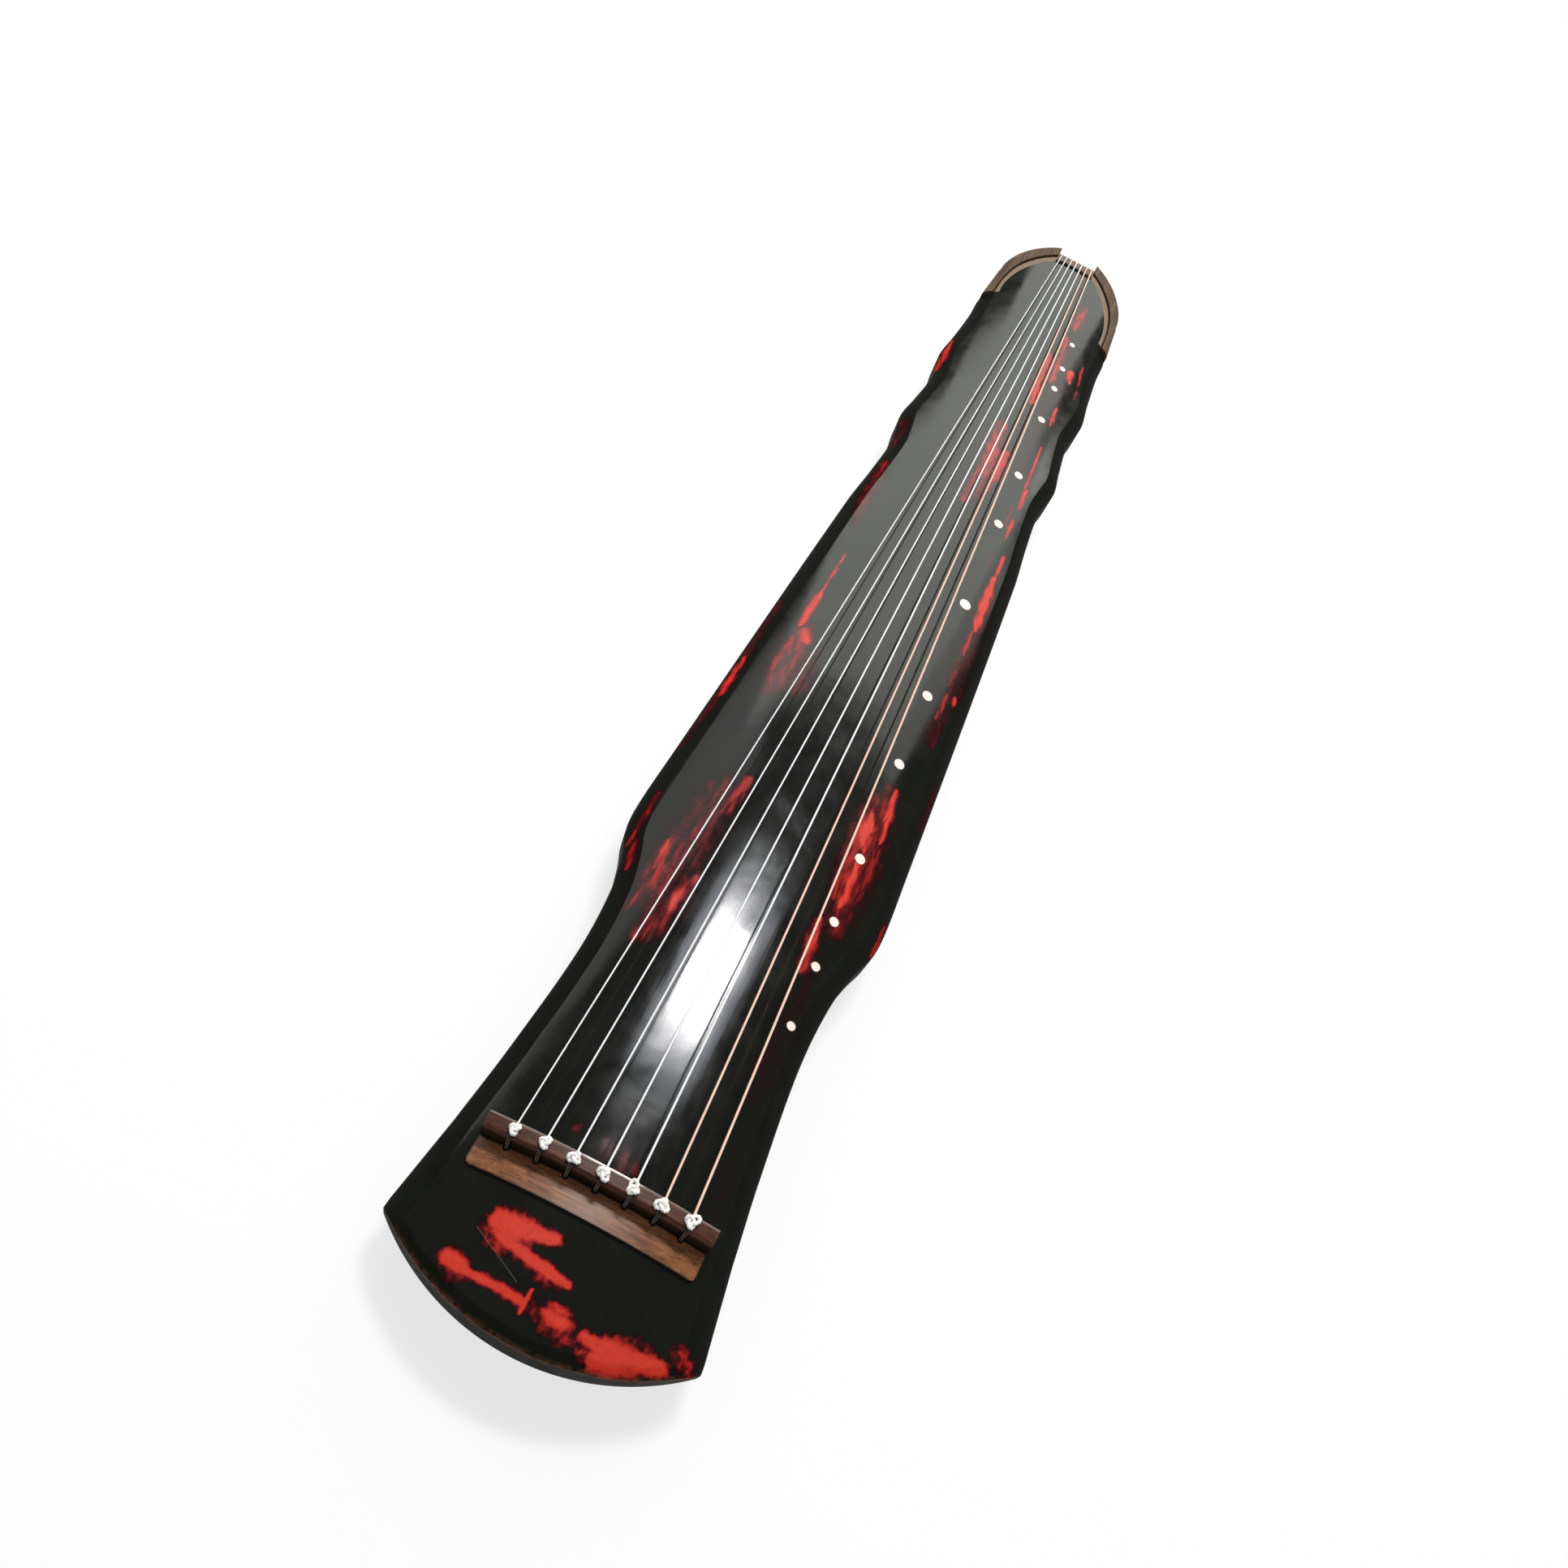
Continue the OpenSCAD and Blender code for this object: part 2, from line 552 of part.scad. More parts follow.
// Strings 1 to 4 wind on the foot on the stud side, 5 to 7 on the other; each takes the
// stretch of the neck below the one before it. Corners of a route round a curve lie outside
// it, so that the straight runs between them only touch it.
WIND_TURNS = 1.8;
WIND_STEPS = 12;
NUT_STEPS = 5;
LOW_STEPS = 3;
wind_clear = 0.6;
function wind_pitch(k) = 2 * string_r(k) + 2 * touch;
function wind_first(k) = k <= 4 ? 1 : 5;
function wind_top(k) = k == wind_first(k) ? bottom_z - wind_clear - string_r(k)
    : wind_top(k - 1) - wind_pitch(k - 1) - string_r(k) - string_r(k - 1) - 2 * touch;
function string_route(k) =
    let (
        r = string_r(k), v = string_v(k), w = nut_v(k), side = k <= 4 ? 1 : -1,
        arc = nut_round + r + touch, arc_u = nut_end - nut_round, arc_z = nut_top - nut_round,
        arc_a = asin(min(1, (nut_z(w) + r + touch - arc_z) / arc)),
        arc_out = arc / cos(arc_a / NUT_STEPS / 2),
        low = lower_round + r + touch, low_u = nut_end - lower_round,
        low_z = lower_nut_z + lower_round,
        low_out = low / cos(90 / LOW_STEPS / 2),
        wind_r = foot_neck_r + r + touch, wind_out = wind_r / cos(180 / WIND_STEPS),
        du = foot_at - (nut_end - lower_nut_len), dv = side * foot_v - w,
        way = atan2(side * dv, -du), lean = acos(wind_r / norm([du, dv])),
        a0 = way + 180 - lean
    )
    concat(
        [[-bridge_round - 1.5, v, bridge_z(v) + r + touch], [-bridge_round, v, bridge_z(v) + r + touch],
            [string_len, w, arc_z + arc_out * sin(arc_a)]],
        [for (t = [0:NUT_STEPS]) let (a = mix(arc_a, 0, t / NUT_STEPS))
            [arc_u + arc_out * cos(a), w, arc_z + arc_out * sin(a)]],
        [for (t = [0:LOW_STEPS]) let (a = -90 * t / LOW_STEPS)
            [low_u + low_out * cos(a), w, low_z + low_out * sin(a)]],
        [[nut_end - lower_nut_len, w, lower_nut_z - r - touch]],
        [for (t = [0:WIND_TURNS * WIND_STEPS]) let (a = a0 - (t + 0.5) * 360 / WIND_STEPS)
            [foot_at - wind_out * cos(a), side * (foot_v + wind_out * sin(a)),
                wind_top(k) - t * wind_pitch(k) / WIND_STEPS]]
    );

// A string's end knot lies on the bridge: the centre line of an overhand knot drawn tight.
// It passes over and under itself, level along each loop and steep between them.
KNOT_STEPS = 36;
KNOT_STEEP = 1.6;
knot_spread = 0.72 * knot_cord_d;
knot_lift = 0.67 * knot_cord_d;
function knot_level(a) = max(-1, min(1, KNOT_STEEP * sin(3 * a)));
function knot_route(k) =
    [for (i = [0:KNOT_STEPS - 1])
        let (a = 360 * i / KNOT_STEPS, v = string_v(k) + knot_spread * (cos(a) - 2 * cos(2 * a)))
        [-bridge_t / 2 + knot_spread * (sin(a) + 2 * sin(2 * a)), v,
            bridge_z(v) + touch + knot_cord_d / 2 + knot_lift * (1 - knot_level(a))]];
// A tuning cord leaves the knot, turns over the back edge of the bridge and goes down into its peg
cord_in_peg = 14;
function cord_route(k) =
    let (
        r = peg_cord_d / 2, z = bridge_z(string_v(k)) + r + 2 * touch,
        turn = bridge_round + r + 2 * touch, u = peg_at + turn
    )
    concat(
        [[-bridge_t / 2 - 1.5, string_v(k), z]],
        [for (t = [0:4]) [u - turn * sin(t * 22.5), string_v(k), z - turn + turn * cos(t * 22.5)]],
        [[peg_at, string_v(k), pool_top - cord_in_peg]]
    );

module top_board() color(LACQUER) difference() {
    arched_solid([for (s = STATIONS) section(s)], split_z, curved_ends = true);
    sound_box();
    pool(split_z - 1, pool_top + pool_plate_t);
    bridge_rebate();
    cord_holes();
    for (m = [0, 1]) mirror([0, m, 0]) trim_seat();
    translate([xo(nut_end), -nut_w / 2, seat_z]) cube([nut_end - nut_from, nut_w, over]);
    tail_notch();
    for (i = [1:STUDS]) at_stud(i) translate([0, 0, -stud_t]) cylinder(r = stud_r(i) + fit_gap, h = 10);
    for (side = [-1, 1]) foot_socket(side);
}

// A slot with round ends along the body, through the bottom board
module sound_slot(at, l)
    translate([xo(at), 0, bottom_z - 1]) {
        translate([-(l - sound_hole_w) / 2, -sound_hole_w / 2, 0])
            cube([l - sound_hole_w, sound_hole_w, bottom_t + 2]);
        for (x = [-1, 1]) translate([x * (l - sound_hole_w) / 2, 0, 0])
            cylinder(d = sound_hole_w, h = bottom_t + 2);
    }
module bottom_board() color(LACQUER) difference() {
    translate([0, 0, bottom_z]) linear_extrude(bottom_t) polygon(OUTLINE);
    sound_slot(front_hole_at, front_hole_len);
    sound_slot(rear_hole_at, rear_hole_len);
    pool(bottom_z - 1, split_z + 1);
    tail_notch();
    translate([xo(nut_end), -lower_nut_w / 2, bottom_z - 1])
        cube([lower_nut_len, lower_nut_w, lower_seat_z - bottom_z + 1]);
    for (side = [-1, 1]) {
        foot_socket(side);
        guard_socket(side);
    }
}

module bridge() color(DARKWOOD) difference() {
    intersection() {
        arched_bar(bridge_top - bridge_arch_r)
            bar_profile(-bridge_t, 0, bridge_arch_r, bridge_round);
        translate([xo(0), -bridge_len / 2, split_z]) cube([bridge_t, bridge_len, over]);
    }
    rebate_floor();
    cord_holes();
}

module cord_hole_strip() color(ROSEWOOD) difference() {
    intersection() {
        arched_bar(arch_axis_z)
            translate([arch_r + strip_rise - bar_depth, rebate_end - 1]) square([bar_depth, strip_w + 1]);
        rebate_plan(0);
    }
    rebate_floor();
    cord_holes();
}

module tail_nut() color(ROSEWOOD) intersection() {
    translate([0, nut_w / 2, 0]) rotate([90, 0, 0]) linear_extrude(nut_w) {
        translate([xo(nut_end), seat_z]) square([nut_end - nut_from, nut_top - nut_round - seat_z]);
        translate([xo(nut_end - nut_round), seat_z])
            square([nut_end - nut_round - nut_from, nut_top - seat_z]);
        translate([xo(nut_end - nut_round), nut_top - nut_round]) circle(r = nut_round);
    }
    lengthwise_cylinder(arch_r + nut_h, nut_top - arch_r - nut_h, nut_from - 1, nut_end + 1);
}

module lower_tail_nut() color(ROSEWOOD)
    translate([0, lower_nut_w / 2, 0]) rotate([90, 0, 0]) linear_extrude(lower_nut_w) {
        translate([xo(nut_end), lower_nut_z + lower_round])
            square([lower_nut_len, lower_seat_z - lower_nut_z - lower_round]);
        translate([xo(nut_end - lower_round), lower_nut_z])
            square([lower_nut_len - 2 * lower_round, lower_round + 1]);
        for (u = [nut_end - lower_round, nut_end - lower_nut_len + lower_round])
            translate([xo(u), lower_nut_z + lower_round]) circle(r = lower_round);
    }

module tail_trim_stud_side() color(ROSEWOOD) one_trim();
module tail_trim_player_side() color(ROSEWOOD) mirror([0, 1, 0]) one_trim();

module goose_foot(side) color(DARKWOOD) translate([xo(foot_at), side * foot_v, 0]) {
    rotate_extrude() {
        difference() {
            square([foot_base_r, foot_lip + foot_flare]);
            translate([foot_base_r, foot_lip + foot_flare]) circle(r = foot_flare);
        }
        square([foot_neck_r, bottom_z]);
    }
    translate([-foot_tenon / 2, -foot_tenon / 2, bottom_z])
        cube([foot_tenon, foot_tenon, foot_tenon_len]);
}

module peg_guard(side) color(DARKWOOD) translate([xo(peg_at), side * guard_v, 0]) {
    hull() for (low = [0, 1]) for (x = [-1, 1]) for (y = [-1, 1])
        translate([
            x * (guard_l / 2 - guard_corner_r - low * guard_taper_l),
            y * (guard_w / 2 - guard_corner_r - low * guard_taper_w),
            (1 - low) * (bottom_z - guard_rim)
        ])
            cylinder(r = guard_corner_r, h = guard_rim, $fn = 24);
    translate([-guard_tenon_l / 2, -guard_tenon_w / 2, bottom_z])
        cube([guard_tenon_l, guard_tenon_w, guard_tenon_h]);
}

module peg_bearing_plate() color(ROSEWOOD) difference() {
    pool(pool_top, pool_top + pool_plate_t, fit_gap);
    cord_holes();
}

// Peg: a round head that bears on the plate, a waist for the cord, and a grip with eight flats
module tuning_peg(k) color(DARKWOOD)
    translate([xo(peg_at), string_v(k), pool_top - run_gap]) mirror([0, 0, 1]) difference() {
        intersection() {
            rotate_extrude() polygon([
                [0, 0], [peg_head_r - peg_edge, 0], [peg_head_r, peg_edge], [peg_head_r, peg_head_h],
                [peg_waist_r, peg_head_h + 1], [peg_waist_r, peg_grip_z - 1],
                [peg_head_r, peg_grip_z], [peg_r, peg_len - peg_end_h], [peg_end_r, peg_len], [0, peg_len]
            ]);
            union() {
                cylinder(r = peg_r + 1, h = peg_grip_z);
                cylinder(r = peg_flat_r / cos(180 / 8), h = peg_len, $fn = 8);
            }
        }
        translate([0, 0, -1]) cylinder(r = peg_bore_r, h = cord_in_peg + 2);
        translate([0, 0, (peg_head_h + peg_grip_z) / 2]) rotate([0, 90, 0])
            cylinder(r = peg_side_bore_r, h = peg_r);
    }

module peg_cord(k) color(CORD_BROWN) tube(cord_route(k), peg_cord_d / 2, [0, 1, 0]);
module string_knot(k) color(KNOT_CREAM)
    tube(knot_route(k), knot_cord_d / 2, [0, 0, 1], closed = true, sides = 6);
module silk_string(k) color(k <= 2 ? STRING_WARM : STRING_GREY)
    tube(string_route(k), string_r(k), [0, 0, 1]);
module stud(i) color(SHELL) at_stud(i) translate([0, 0, -stud_t]) cylinder(r = stud_r(i), h = stud_t);
module round_sound_post() color(ROSEWOOD)
    translate([xo(round_post_at), 0, split_z]) cylinder(d = round_post_d, h = post_h(round_post_at));
module square_sound_post() color(ROSEWOOD)
    translate([xo(square_post_at) - square_post / 2, -square_post / 2, split_z])
        cube([square_post, square_post, post_h(square_post_at)]);

top_board();
bottom_board();
bridge();
cord_hole_strip();
tail_nut();
lower_tail_nut();
tail_trim_stud_side();
tail_trim_player_side();
goose_foot(1);  // goose_foot_stud_side
goose_foot(-1);  // goose_foot_player_side
peg_guard(1);  // peg_guard_stud_side
peg_guard(-1);  // peg_guard_player_side
peg_bearing_plate();
round_sound_post();
square_sound_post();
for (k = [1:STRINGS]) tuning_peg(k);
for (k = [1:STRINGS]) peg_cord(k);
for (k = [1:STRINGS]) string_knot(k);
for (k = [1:STRINGS]) silk_string(k);
for (i = [1:STUDS]) stud(i);
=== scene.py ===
import math
import bmesh
import bpy
import numpy as np
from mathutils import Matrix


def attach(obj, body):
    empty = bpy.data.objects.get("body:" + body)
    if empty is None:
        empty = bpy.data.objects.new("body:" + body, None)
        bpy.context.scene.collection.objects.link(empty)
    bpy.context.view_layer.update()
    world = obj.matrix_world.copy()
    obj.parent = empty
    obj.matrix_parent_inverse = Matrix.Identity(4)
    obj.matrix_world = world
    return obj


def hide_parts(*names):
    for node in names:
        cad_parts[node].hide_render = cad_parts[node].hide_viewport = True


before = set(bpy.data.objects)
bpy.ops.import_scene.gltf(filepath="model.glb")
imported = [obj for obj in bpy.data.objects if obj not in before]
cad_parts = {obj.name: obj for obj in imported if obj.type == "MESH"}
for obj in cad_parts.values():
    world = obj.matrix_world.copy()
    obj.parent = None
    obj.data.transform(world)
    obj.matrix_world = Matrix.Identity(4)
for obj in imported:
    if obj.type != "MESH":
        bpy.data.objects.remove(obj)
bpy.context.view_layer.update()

# The sound box: two long boards of light softwood glued face to face, the upper one planed to an
# arch and hollowed from below. Its width is set at a few places along the strings and runs
# smoothly between them. Lengths are in mm, u runs from the bridge towards the tail, v towards the studs.
MM = 0.001
STRING_LEN = 1100.0
HEAD_LEN = 97.0
TAIL_END = 1122.0
MID_U = (TAIL_END - HEAD_LEN) / 2
HEAD_LINE = -5.0
FLOOR_TO_BOARD = 22.0
BOARD_SEAM = 31.0
ARCH_R = 240.0
EDGE_W = 12.0
EDGE_H = 9.0
WIDTHS = np.array([
    (-HEAD_LEN, 200), (HEAD_LINE, 181), (44, 170), (121, 159), (170.5, 163.63), (200.2, 176.8),
    (220, 190.33), (239.8, 194.6), (286, 191.92), (616, 164.8), (665.5, 156.1), (709.5, 151.2),
    (735.9, 156.8), (759, 162.4), (786.5, 155.5), (823.9, 148.6), (849.2, 153.7), (873.4, 158.8),
    (907.5, 152.44), (954.8, 146.93), (979, 147.79), (1039.5, 141.6), (TAIL_END, 139)
]) * (1, 0.5)


def half_width(u):
    """Half the outline's width at u: a cubic between neighbouring rows of WIDTHS, whose slope at a
    row is the slope of the straight line between the rows on either side of it."""
    x, y = WIDTHS.T
    low, high = np.maximum(np.arange(len(x)) - 1, 0), np.minimum(np.arange(len(x)) + 1, len(x) - 1)
    slope = (y[high] - y[low]) / (x[high] - x[low])
    i = np.clip(np.searchsorted(x, u, side="right") - 1, 0, len(x) - 2)
    h = x[i + 1] - x[i]
    s = (u - x[i]) / h
    return (y[i] * (2 * s**3 - 3 * s**2 + 1) + y[i + 1] * (3 * s**2 - 2 * s**3)
            + h * (slope[i] * (s**3 - 2 * s**2 + s) + slope[i + 1] * (s**3 - s**2)))


def forehead(v):
    """Place of the head's curved end at v: an arc of 163 mm radius."""
    return -HEAD_LEN + 163 - np.sqrt(163**2 - v**2)


def crown(u):
    """Height of the board's middle: a straight fall of 6 mm to the tail, and a parabola down at the head."""
    return np.where(u < 0, 72 - 12 * (u / HEAD_LEN) ** 2, 72 - 6 * u / STRING_LEN)


def arch(u, v):
    """Height of the board's arch: the crown less the fall of a parabola across."""
    return crown(u) - v**2 / (2 * ARCH_R)


def edge_fall(d, width, height):
    """Fall of a rounded edge at a distance d in from the rim: one third slope, two thirds quarter ellipse."""
    t = 1 - np.clip(d, 0, width) / width
    return height * (0.35 * t + 0.65 * (1 - np.sqrt(1 - t**2)))


def board_top(u, v, w):
    """Height of the finished surface: the arch, less the rounded long edges and the rounded forehead."""
    side = edge_fall(w - np.abs(v), EDGE_W, EDGE_H)
    return arch(u, v) - side - np.where(u < 0, edge_fall(u - forehead(v), 7, 4), 0)


def in_row_frame(u, v, z):
    """Points of the part's frame, in metres, from u, v and z in mm."""
    u, v, z = np.broadcast_arrays(u, v, z)
    return np.stack([MID_U - u, v, z], axis=-1) * MM


def grid_mesh(name, points, close_u=False, close_v=False, flip=False):
    """A mesh over an array of points [rows, columns, 3]: each cell of the grid is one quad, and a closed
    direction joins its last row or column to its first."""
    rows, cols = points.shape[:2]
    r, c = np.arange(rows if close_u else rows - 1), np.arange(cols if close_v else cols - 1)
    r, c = np.meshgrid(r, c, indexing="ij")
    r2, c2 = (r + 1) % rows, (c + 1) % cols
    quads = np.stack([r * cols + c, r * cols + c2, r2 * cols + c2, r2 * cols + c], axis=-1).reshape(-1, 4)
    if flip:
        quads = quads[:, ::-1]
    mesh = bpy.data.meshes.new(name)
    mesh.from_pydata(points.reshape(-1, 3), [], quads.tolist())
    mesh.shade_smooth()
    return mesh


def piece(name, mesh, material, body="body", replaces=()):
    """An object that shows a mesh in a material, rides a body and stands for CAD nodes."""
    made = bpy.data.objects.new(name, mesh)
    bpy.context.scene.collection.objects.link(made)
    made.data.materials.append(material)
    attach(made, body)
    if replaces:
        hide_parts(*replaces)
    return made


def joined(name, meshes, merge=0.0, sharp=None):
    """One mesh from several, with points closer than merge made one and edges over an angle kept sharp."""
    work = bmesh.new()
    for mesh in meshes:
        work.from_mesh(mesh)
    if merge:
        bmesh.ops.remove_doubles(work, verts=work.verts, dist=merge)
    whole = bpy.data.meshes.new(name)
    work.to_mesh(whole)
    work.free()
    whole.shade_smooth()
    if sharp:
        whole.set_sharp_from_angle(angle=math.radians(sharp))
    return whole


def paint(code):
    """Linear colour of an sRGB hex value."""
    part = [int(code[i:i + 2], 16) / 255 for i in (1, 3, 5)]
    return [c / 12.92 if c <= 0.04045 else ((c + 0.055) / 1.055) ** 2.4 for c in part] + [1.0]


def add(tree, kind, inputs=(), **settings):
    """Adds a node: settings are its own properties, inputs maps sockets to values or to what feeds them."""
    node = tree.nodes.new(kind)
    for key, value in settings.items():
        setattr(node, key, value)
    for key, value in dict(inputs).items():
        if isinstance(value, bpy.types.NodeSocket):
            tree.links.new(value, node.inputs[key])
        else:
            node.inputs[key].default_value = value
    return node


def fresh_material(name):
    """An empty material: its node tree, its place along, across and up in mm, and its shader."""
    material = bpy.data.materials.new(name)
    material.use_nodes = True
    tree = material.node_tree
    tree.nodes.clear()
    shader = add(tree, "ShaderNodeBsdfPrincipled")
    out = add(tree, "ShaderNodeOutputMaterial", {"Surface": shader.outputs[0]})
    out.target = "ALL"
    place = add(tree, "ShaderNodeTexCoord").outputs["Object"]
    in_mm = add(tree, "ShaderNodeVectorMath", {0: place, 1: (1000, 1000, 1000)}, operation="MULTIPLY")
    return material, tree, in_mm.outputs[0], shader


# Inside, the boards show bare planed softwood: pale, straight grained along the body, no gloss.
# The pool for the pegs and the notch at the tail are lacquered black like the outside.
softwood, tree, mm, shader = fresh_material("planed_softwood")
grain = add(tree, "ShaderNodeTexNoise", {
    "Vector": add(tree, "ShaderNodeMapping", {"Vector": mm, "Scale": (0.012, 0.45, 0.45)}).outputs[0],
    "Scale": 1.0, "Detail": 5.0, "Roughness": 0.6})
tone = add(tree, "ShaderNodeMix", {0: grain.outputs[0], 6: paint("#8a6238"), 7: paint("#d3ab76")}, data_type="RGBA")
along = add(tree, "ShaderNodeSeparateXYZ", {0: mm})
far_out = add(tree, "ShaderNodeMath", {0: add(tree, "ShaderNodeMath", {0: along.outputs[0], 1: 508.0},
              operation="GREATER_THAN").outputs[0],
              1: add(tree, "ShaderNodeMath", {0: along.outputs[0], 1: -588.0}, operation="LESS_THAN").outputs[0]},
              operation="MAXIMUM")
shown = add(tree, "ShaderNodeMix", {0: far_out.outputs[0], 6: tone.outputs[2], 7: paint("#121310")}, data_type="RGBA")
tree.links.new(shown.outputs[2], shader.inputs["Base Color"])
shader.inputs["Roughness"].default_value = 0.62
ridges = add(tree, "ShaderNodeBump", {"Height": grain.outputs[0], "Strength": 0.25, "Distance": 0.0004})
tree.links.new(ridges.outputs[0], shader.inputs["Normal"])
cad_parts["top_board"].material_slots[0].material = softwood
for post in ("round_sound_post", "square_sound_post"):
    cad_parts[post].material_slots[0].material = softwood

# The lacquer: raw lacquer with horn ash, rubbed down and polished to a deep gloss, near black with a
# green cast. Under it lies a vermilion coat. On the head the black is cut through in firm patches;
# along the body it is only rubbed thin, so that the red glows through in soft streaks.
# Each row is a stroke of the rubbing block: from u0, v0 to u1, v1, its width in mm, and its strength.
CUT_THROUGH = np.array([
    (-73.5, 77, -75.5, 66, 3.8, 1), (-76, 64, -79.5, 44, 6.6, 1), (-83, 55, -85.5, 42, 5.2, 1), (-79, 42, -78, 29, 3.2, 0.95),
    (-90, 56, -87, 44, 3.0, 0.8), (-78, 20, -77, 6, 4.2, 0.85), (-73, 18, -72, 6, 2.4, 0.7), (-83, -5.3, -70, -5.3, 1.1, 0.85),
    (-77, -8, -76.5, -42, 2.4, 0.95), (-75.5, -44, -73.5, -56, 3.8, 1), (-60, 10, -57.5, -16, 2.8, 0.95), (-59, -2, -55, -30, 3.2, 0.9),
    (-57, -18, -53, -38, 2.8, 0.9), (-43.5, -6, -45, -20, 3.4, 0.95), (-45.5, -20, -46, -39, 5.6, 1),
    (-50.5, -28, -48.5, -41, 4.4, 1), (-73, 95, -62, 84, 5.5, 0.55), (-80, 26, -79, 0, 6.5, 0.5), (-66, 6, -62, -8, 3.0, 0.45),
    (-86, 38, -83, 22, 4.0, 0.5), (-70, 70, -69, 56, 4.0, 0.5), (-60, -30, -54, -44, 4.0, 0.5), (-80, -42, -78, -54, 4.0, 0.45)])
RUBBED_THIN = np.array([
    (9, 15, 15, -8, 5.5, 0.3), (13, -27, 18, -24, 2.2, 0.4), (6, 66, 60, 58, 8, 0.07), (214, 61, 340, 58, 10, 0.44), (236, 52, 330, 49, 5, 0.6),
    (80, 58, 182, 56, 8, 0.12), (100, 52, 108, 52, 3, 0.3), (174, 53, 216, 50.5, 3.6, 0.9), (232, 59, 272, 57, 3.2, 1.0),
    (283, 57, 304, 51, 4.6, 1.0), (300, 56, 314, 52, 4.2, 1.0), (296, 67, 345, 61, 2.6, 1.1), (245, 69, 300, 67, 2.0, 0.6),
    (218, 94, 246, 95, 1.8, 0.6), (140, -50, 192, -36, 7.0, 0.5), (168, -42, 199, -37, 4.2, 0.8), (158, -66, 220, -64, 3.8, 0.5),
    (192, -64, 217, -65, 3.0, 0.85), (176, -58, 202, -62, 3.6, 0.6), (166, -52, 278, -50, 11.0, 0.4), (214, -55, 268, -42, 4.0, 0.42),
    (254, -41, 290, -37, 4.0, 0.68), (186, -80, 212, -86, 2.2, 0.5), (205, -88, 254, -89, 1.8, 0.65), (377, -40, 426, -40, 6.5, 0.36), (400, 68, 560, 66, 8, 0.2),
    (372, -56, 446, -55, 8.5, 0.46), (430, -50, 443, -58, 4.0, 0.8), (392, -64, 432, -62, 2.6, 0.6), (446, -61.5, 488, -60.5, 2.8, 0.95),
    (486, -60, 541, -59, 1.2, 0.85), (326, 90, 381, 90, 1.8, 0.25), (400, 72, 424, 71, 2.2, 0.4), (425, 66, 454, 66, 1.6, 0.72),
    (449, 74, 457, 73, 2.2, 0.85), (462, 64, 494, 63.5, 2.2, 0.5), (500, 64.5, 530, 63.5, 1.6, 0.75), (532, 65, 600, 62.5, 3.2, 1.15),
    (598, 63, 630, 61.5, 1.8, 0.95), (605, 52.5, 625, 51.5, 1.2, 0.5), (649, 56.5, 678, 55.5, 2.0, 0.8), (660, 52, 692, 50, 1.6, 0.5), (720, 41, 990, 36, 12, 0.13),
    (694, 56, 724, 55, 2.2, 0.85), (722, 53, 789, 50.5, 1.5, 0.8), (825, 49.5, 856, 48, 1.9, 1.0), (903, 48, 922, 46, 3.4, 1.0),
    (908, 58, 942, 55, 1.6, 0.75), (886, 60, 902, 59, 1.6, 0.5), (838, 23.5, 926, 19, 4.6, 0.72), (886, 31, 968, 27, 4.6, 0.62),
    (988, 30, 1036, 30, 4.8, 0.6), (660, 9, 724, 7, 4.2, 0.6), (672, 15, 724, 16, 7, 0.42), (684, 22, 724, 24, 3.0, 0.42), (700, 11, 790, 8, 6.5, 0.74),
    (706, 24, 752, 23, 5, 0.66), (806, 40, 808, 40, 1.4, 0.5), (356, -88, 400, -87, 2.4, 0.95), (300, -92, 470, -85, 2.6, 0.32),
    (579, -66, 674, -70, 4.0, 0.5), (640, -68, 674, -71, 2.2, 0.6), (700, -72, 748, -74, 3.5, 0.35), (836, -74, 892, -75, 2.6, 0.85)])


def rubbed_field(strokes, u, v, tip):
    """How far the rubbing has gone at u, v: the largest over the strokes of a stroke's strength times
    a bell of the distance to its line over its width, which narrows to the share tip at its ends. The
    line wanders by a fifth of its width."""
    most = np.zeros_like(u)
    for u0, v0, u1, v1, width, strength in strokes:
        du, dv = u1 - u0, v1 - v0
        t = np.clip(((u - u0) * du + (v - v0) * dv) / (du**2 + dv**2), 0, 1)
        wander = 0.2 * width * np.sin(0.35 * (u + v) + u0)
        away = np.hypot(u - u0 - t * du, v - v0 - t * dv + wander)
        swell = tip + (1 - tip) * np.sqrt(np.sin(np.pi * t))
        most = np.maximum(most, strength * np.exp(-0.5 * (away / (width * swell)) ** 2))
    return most


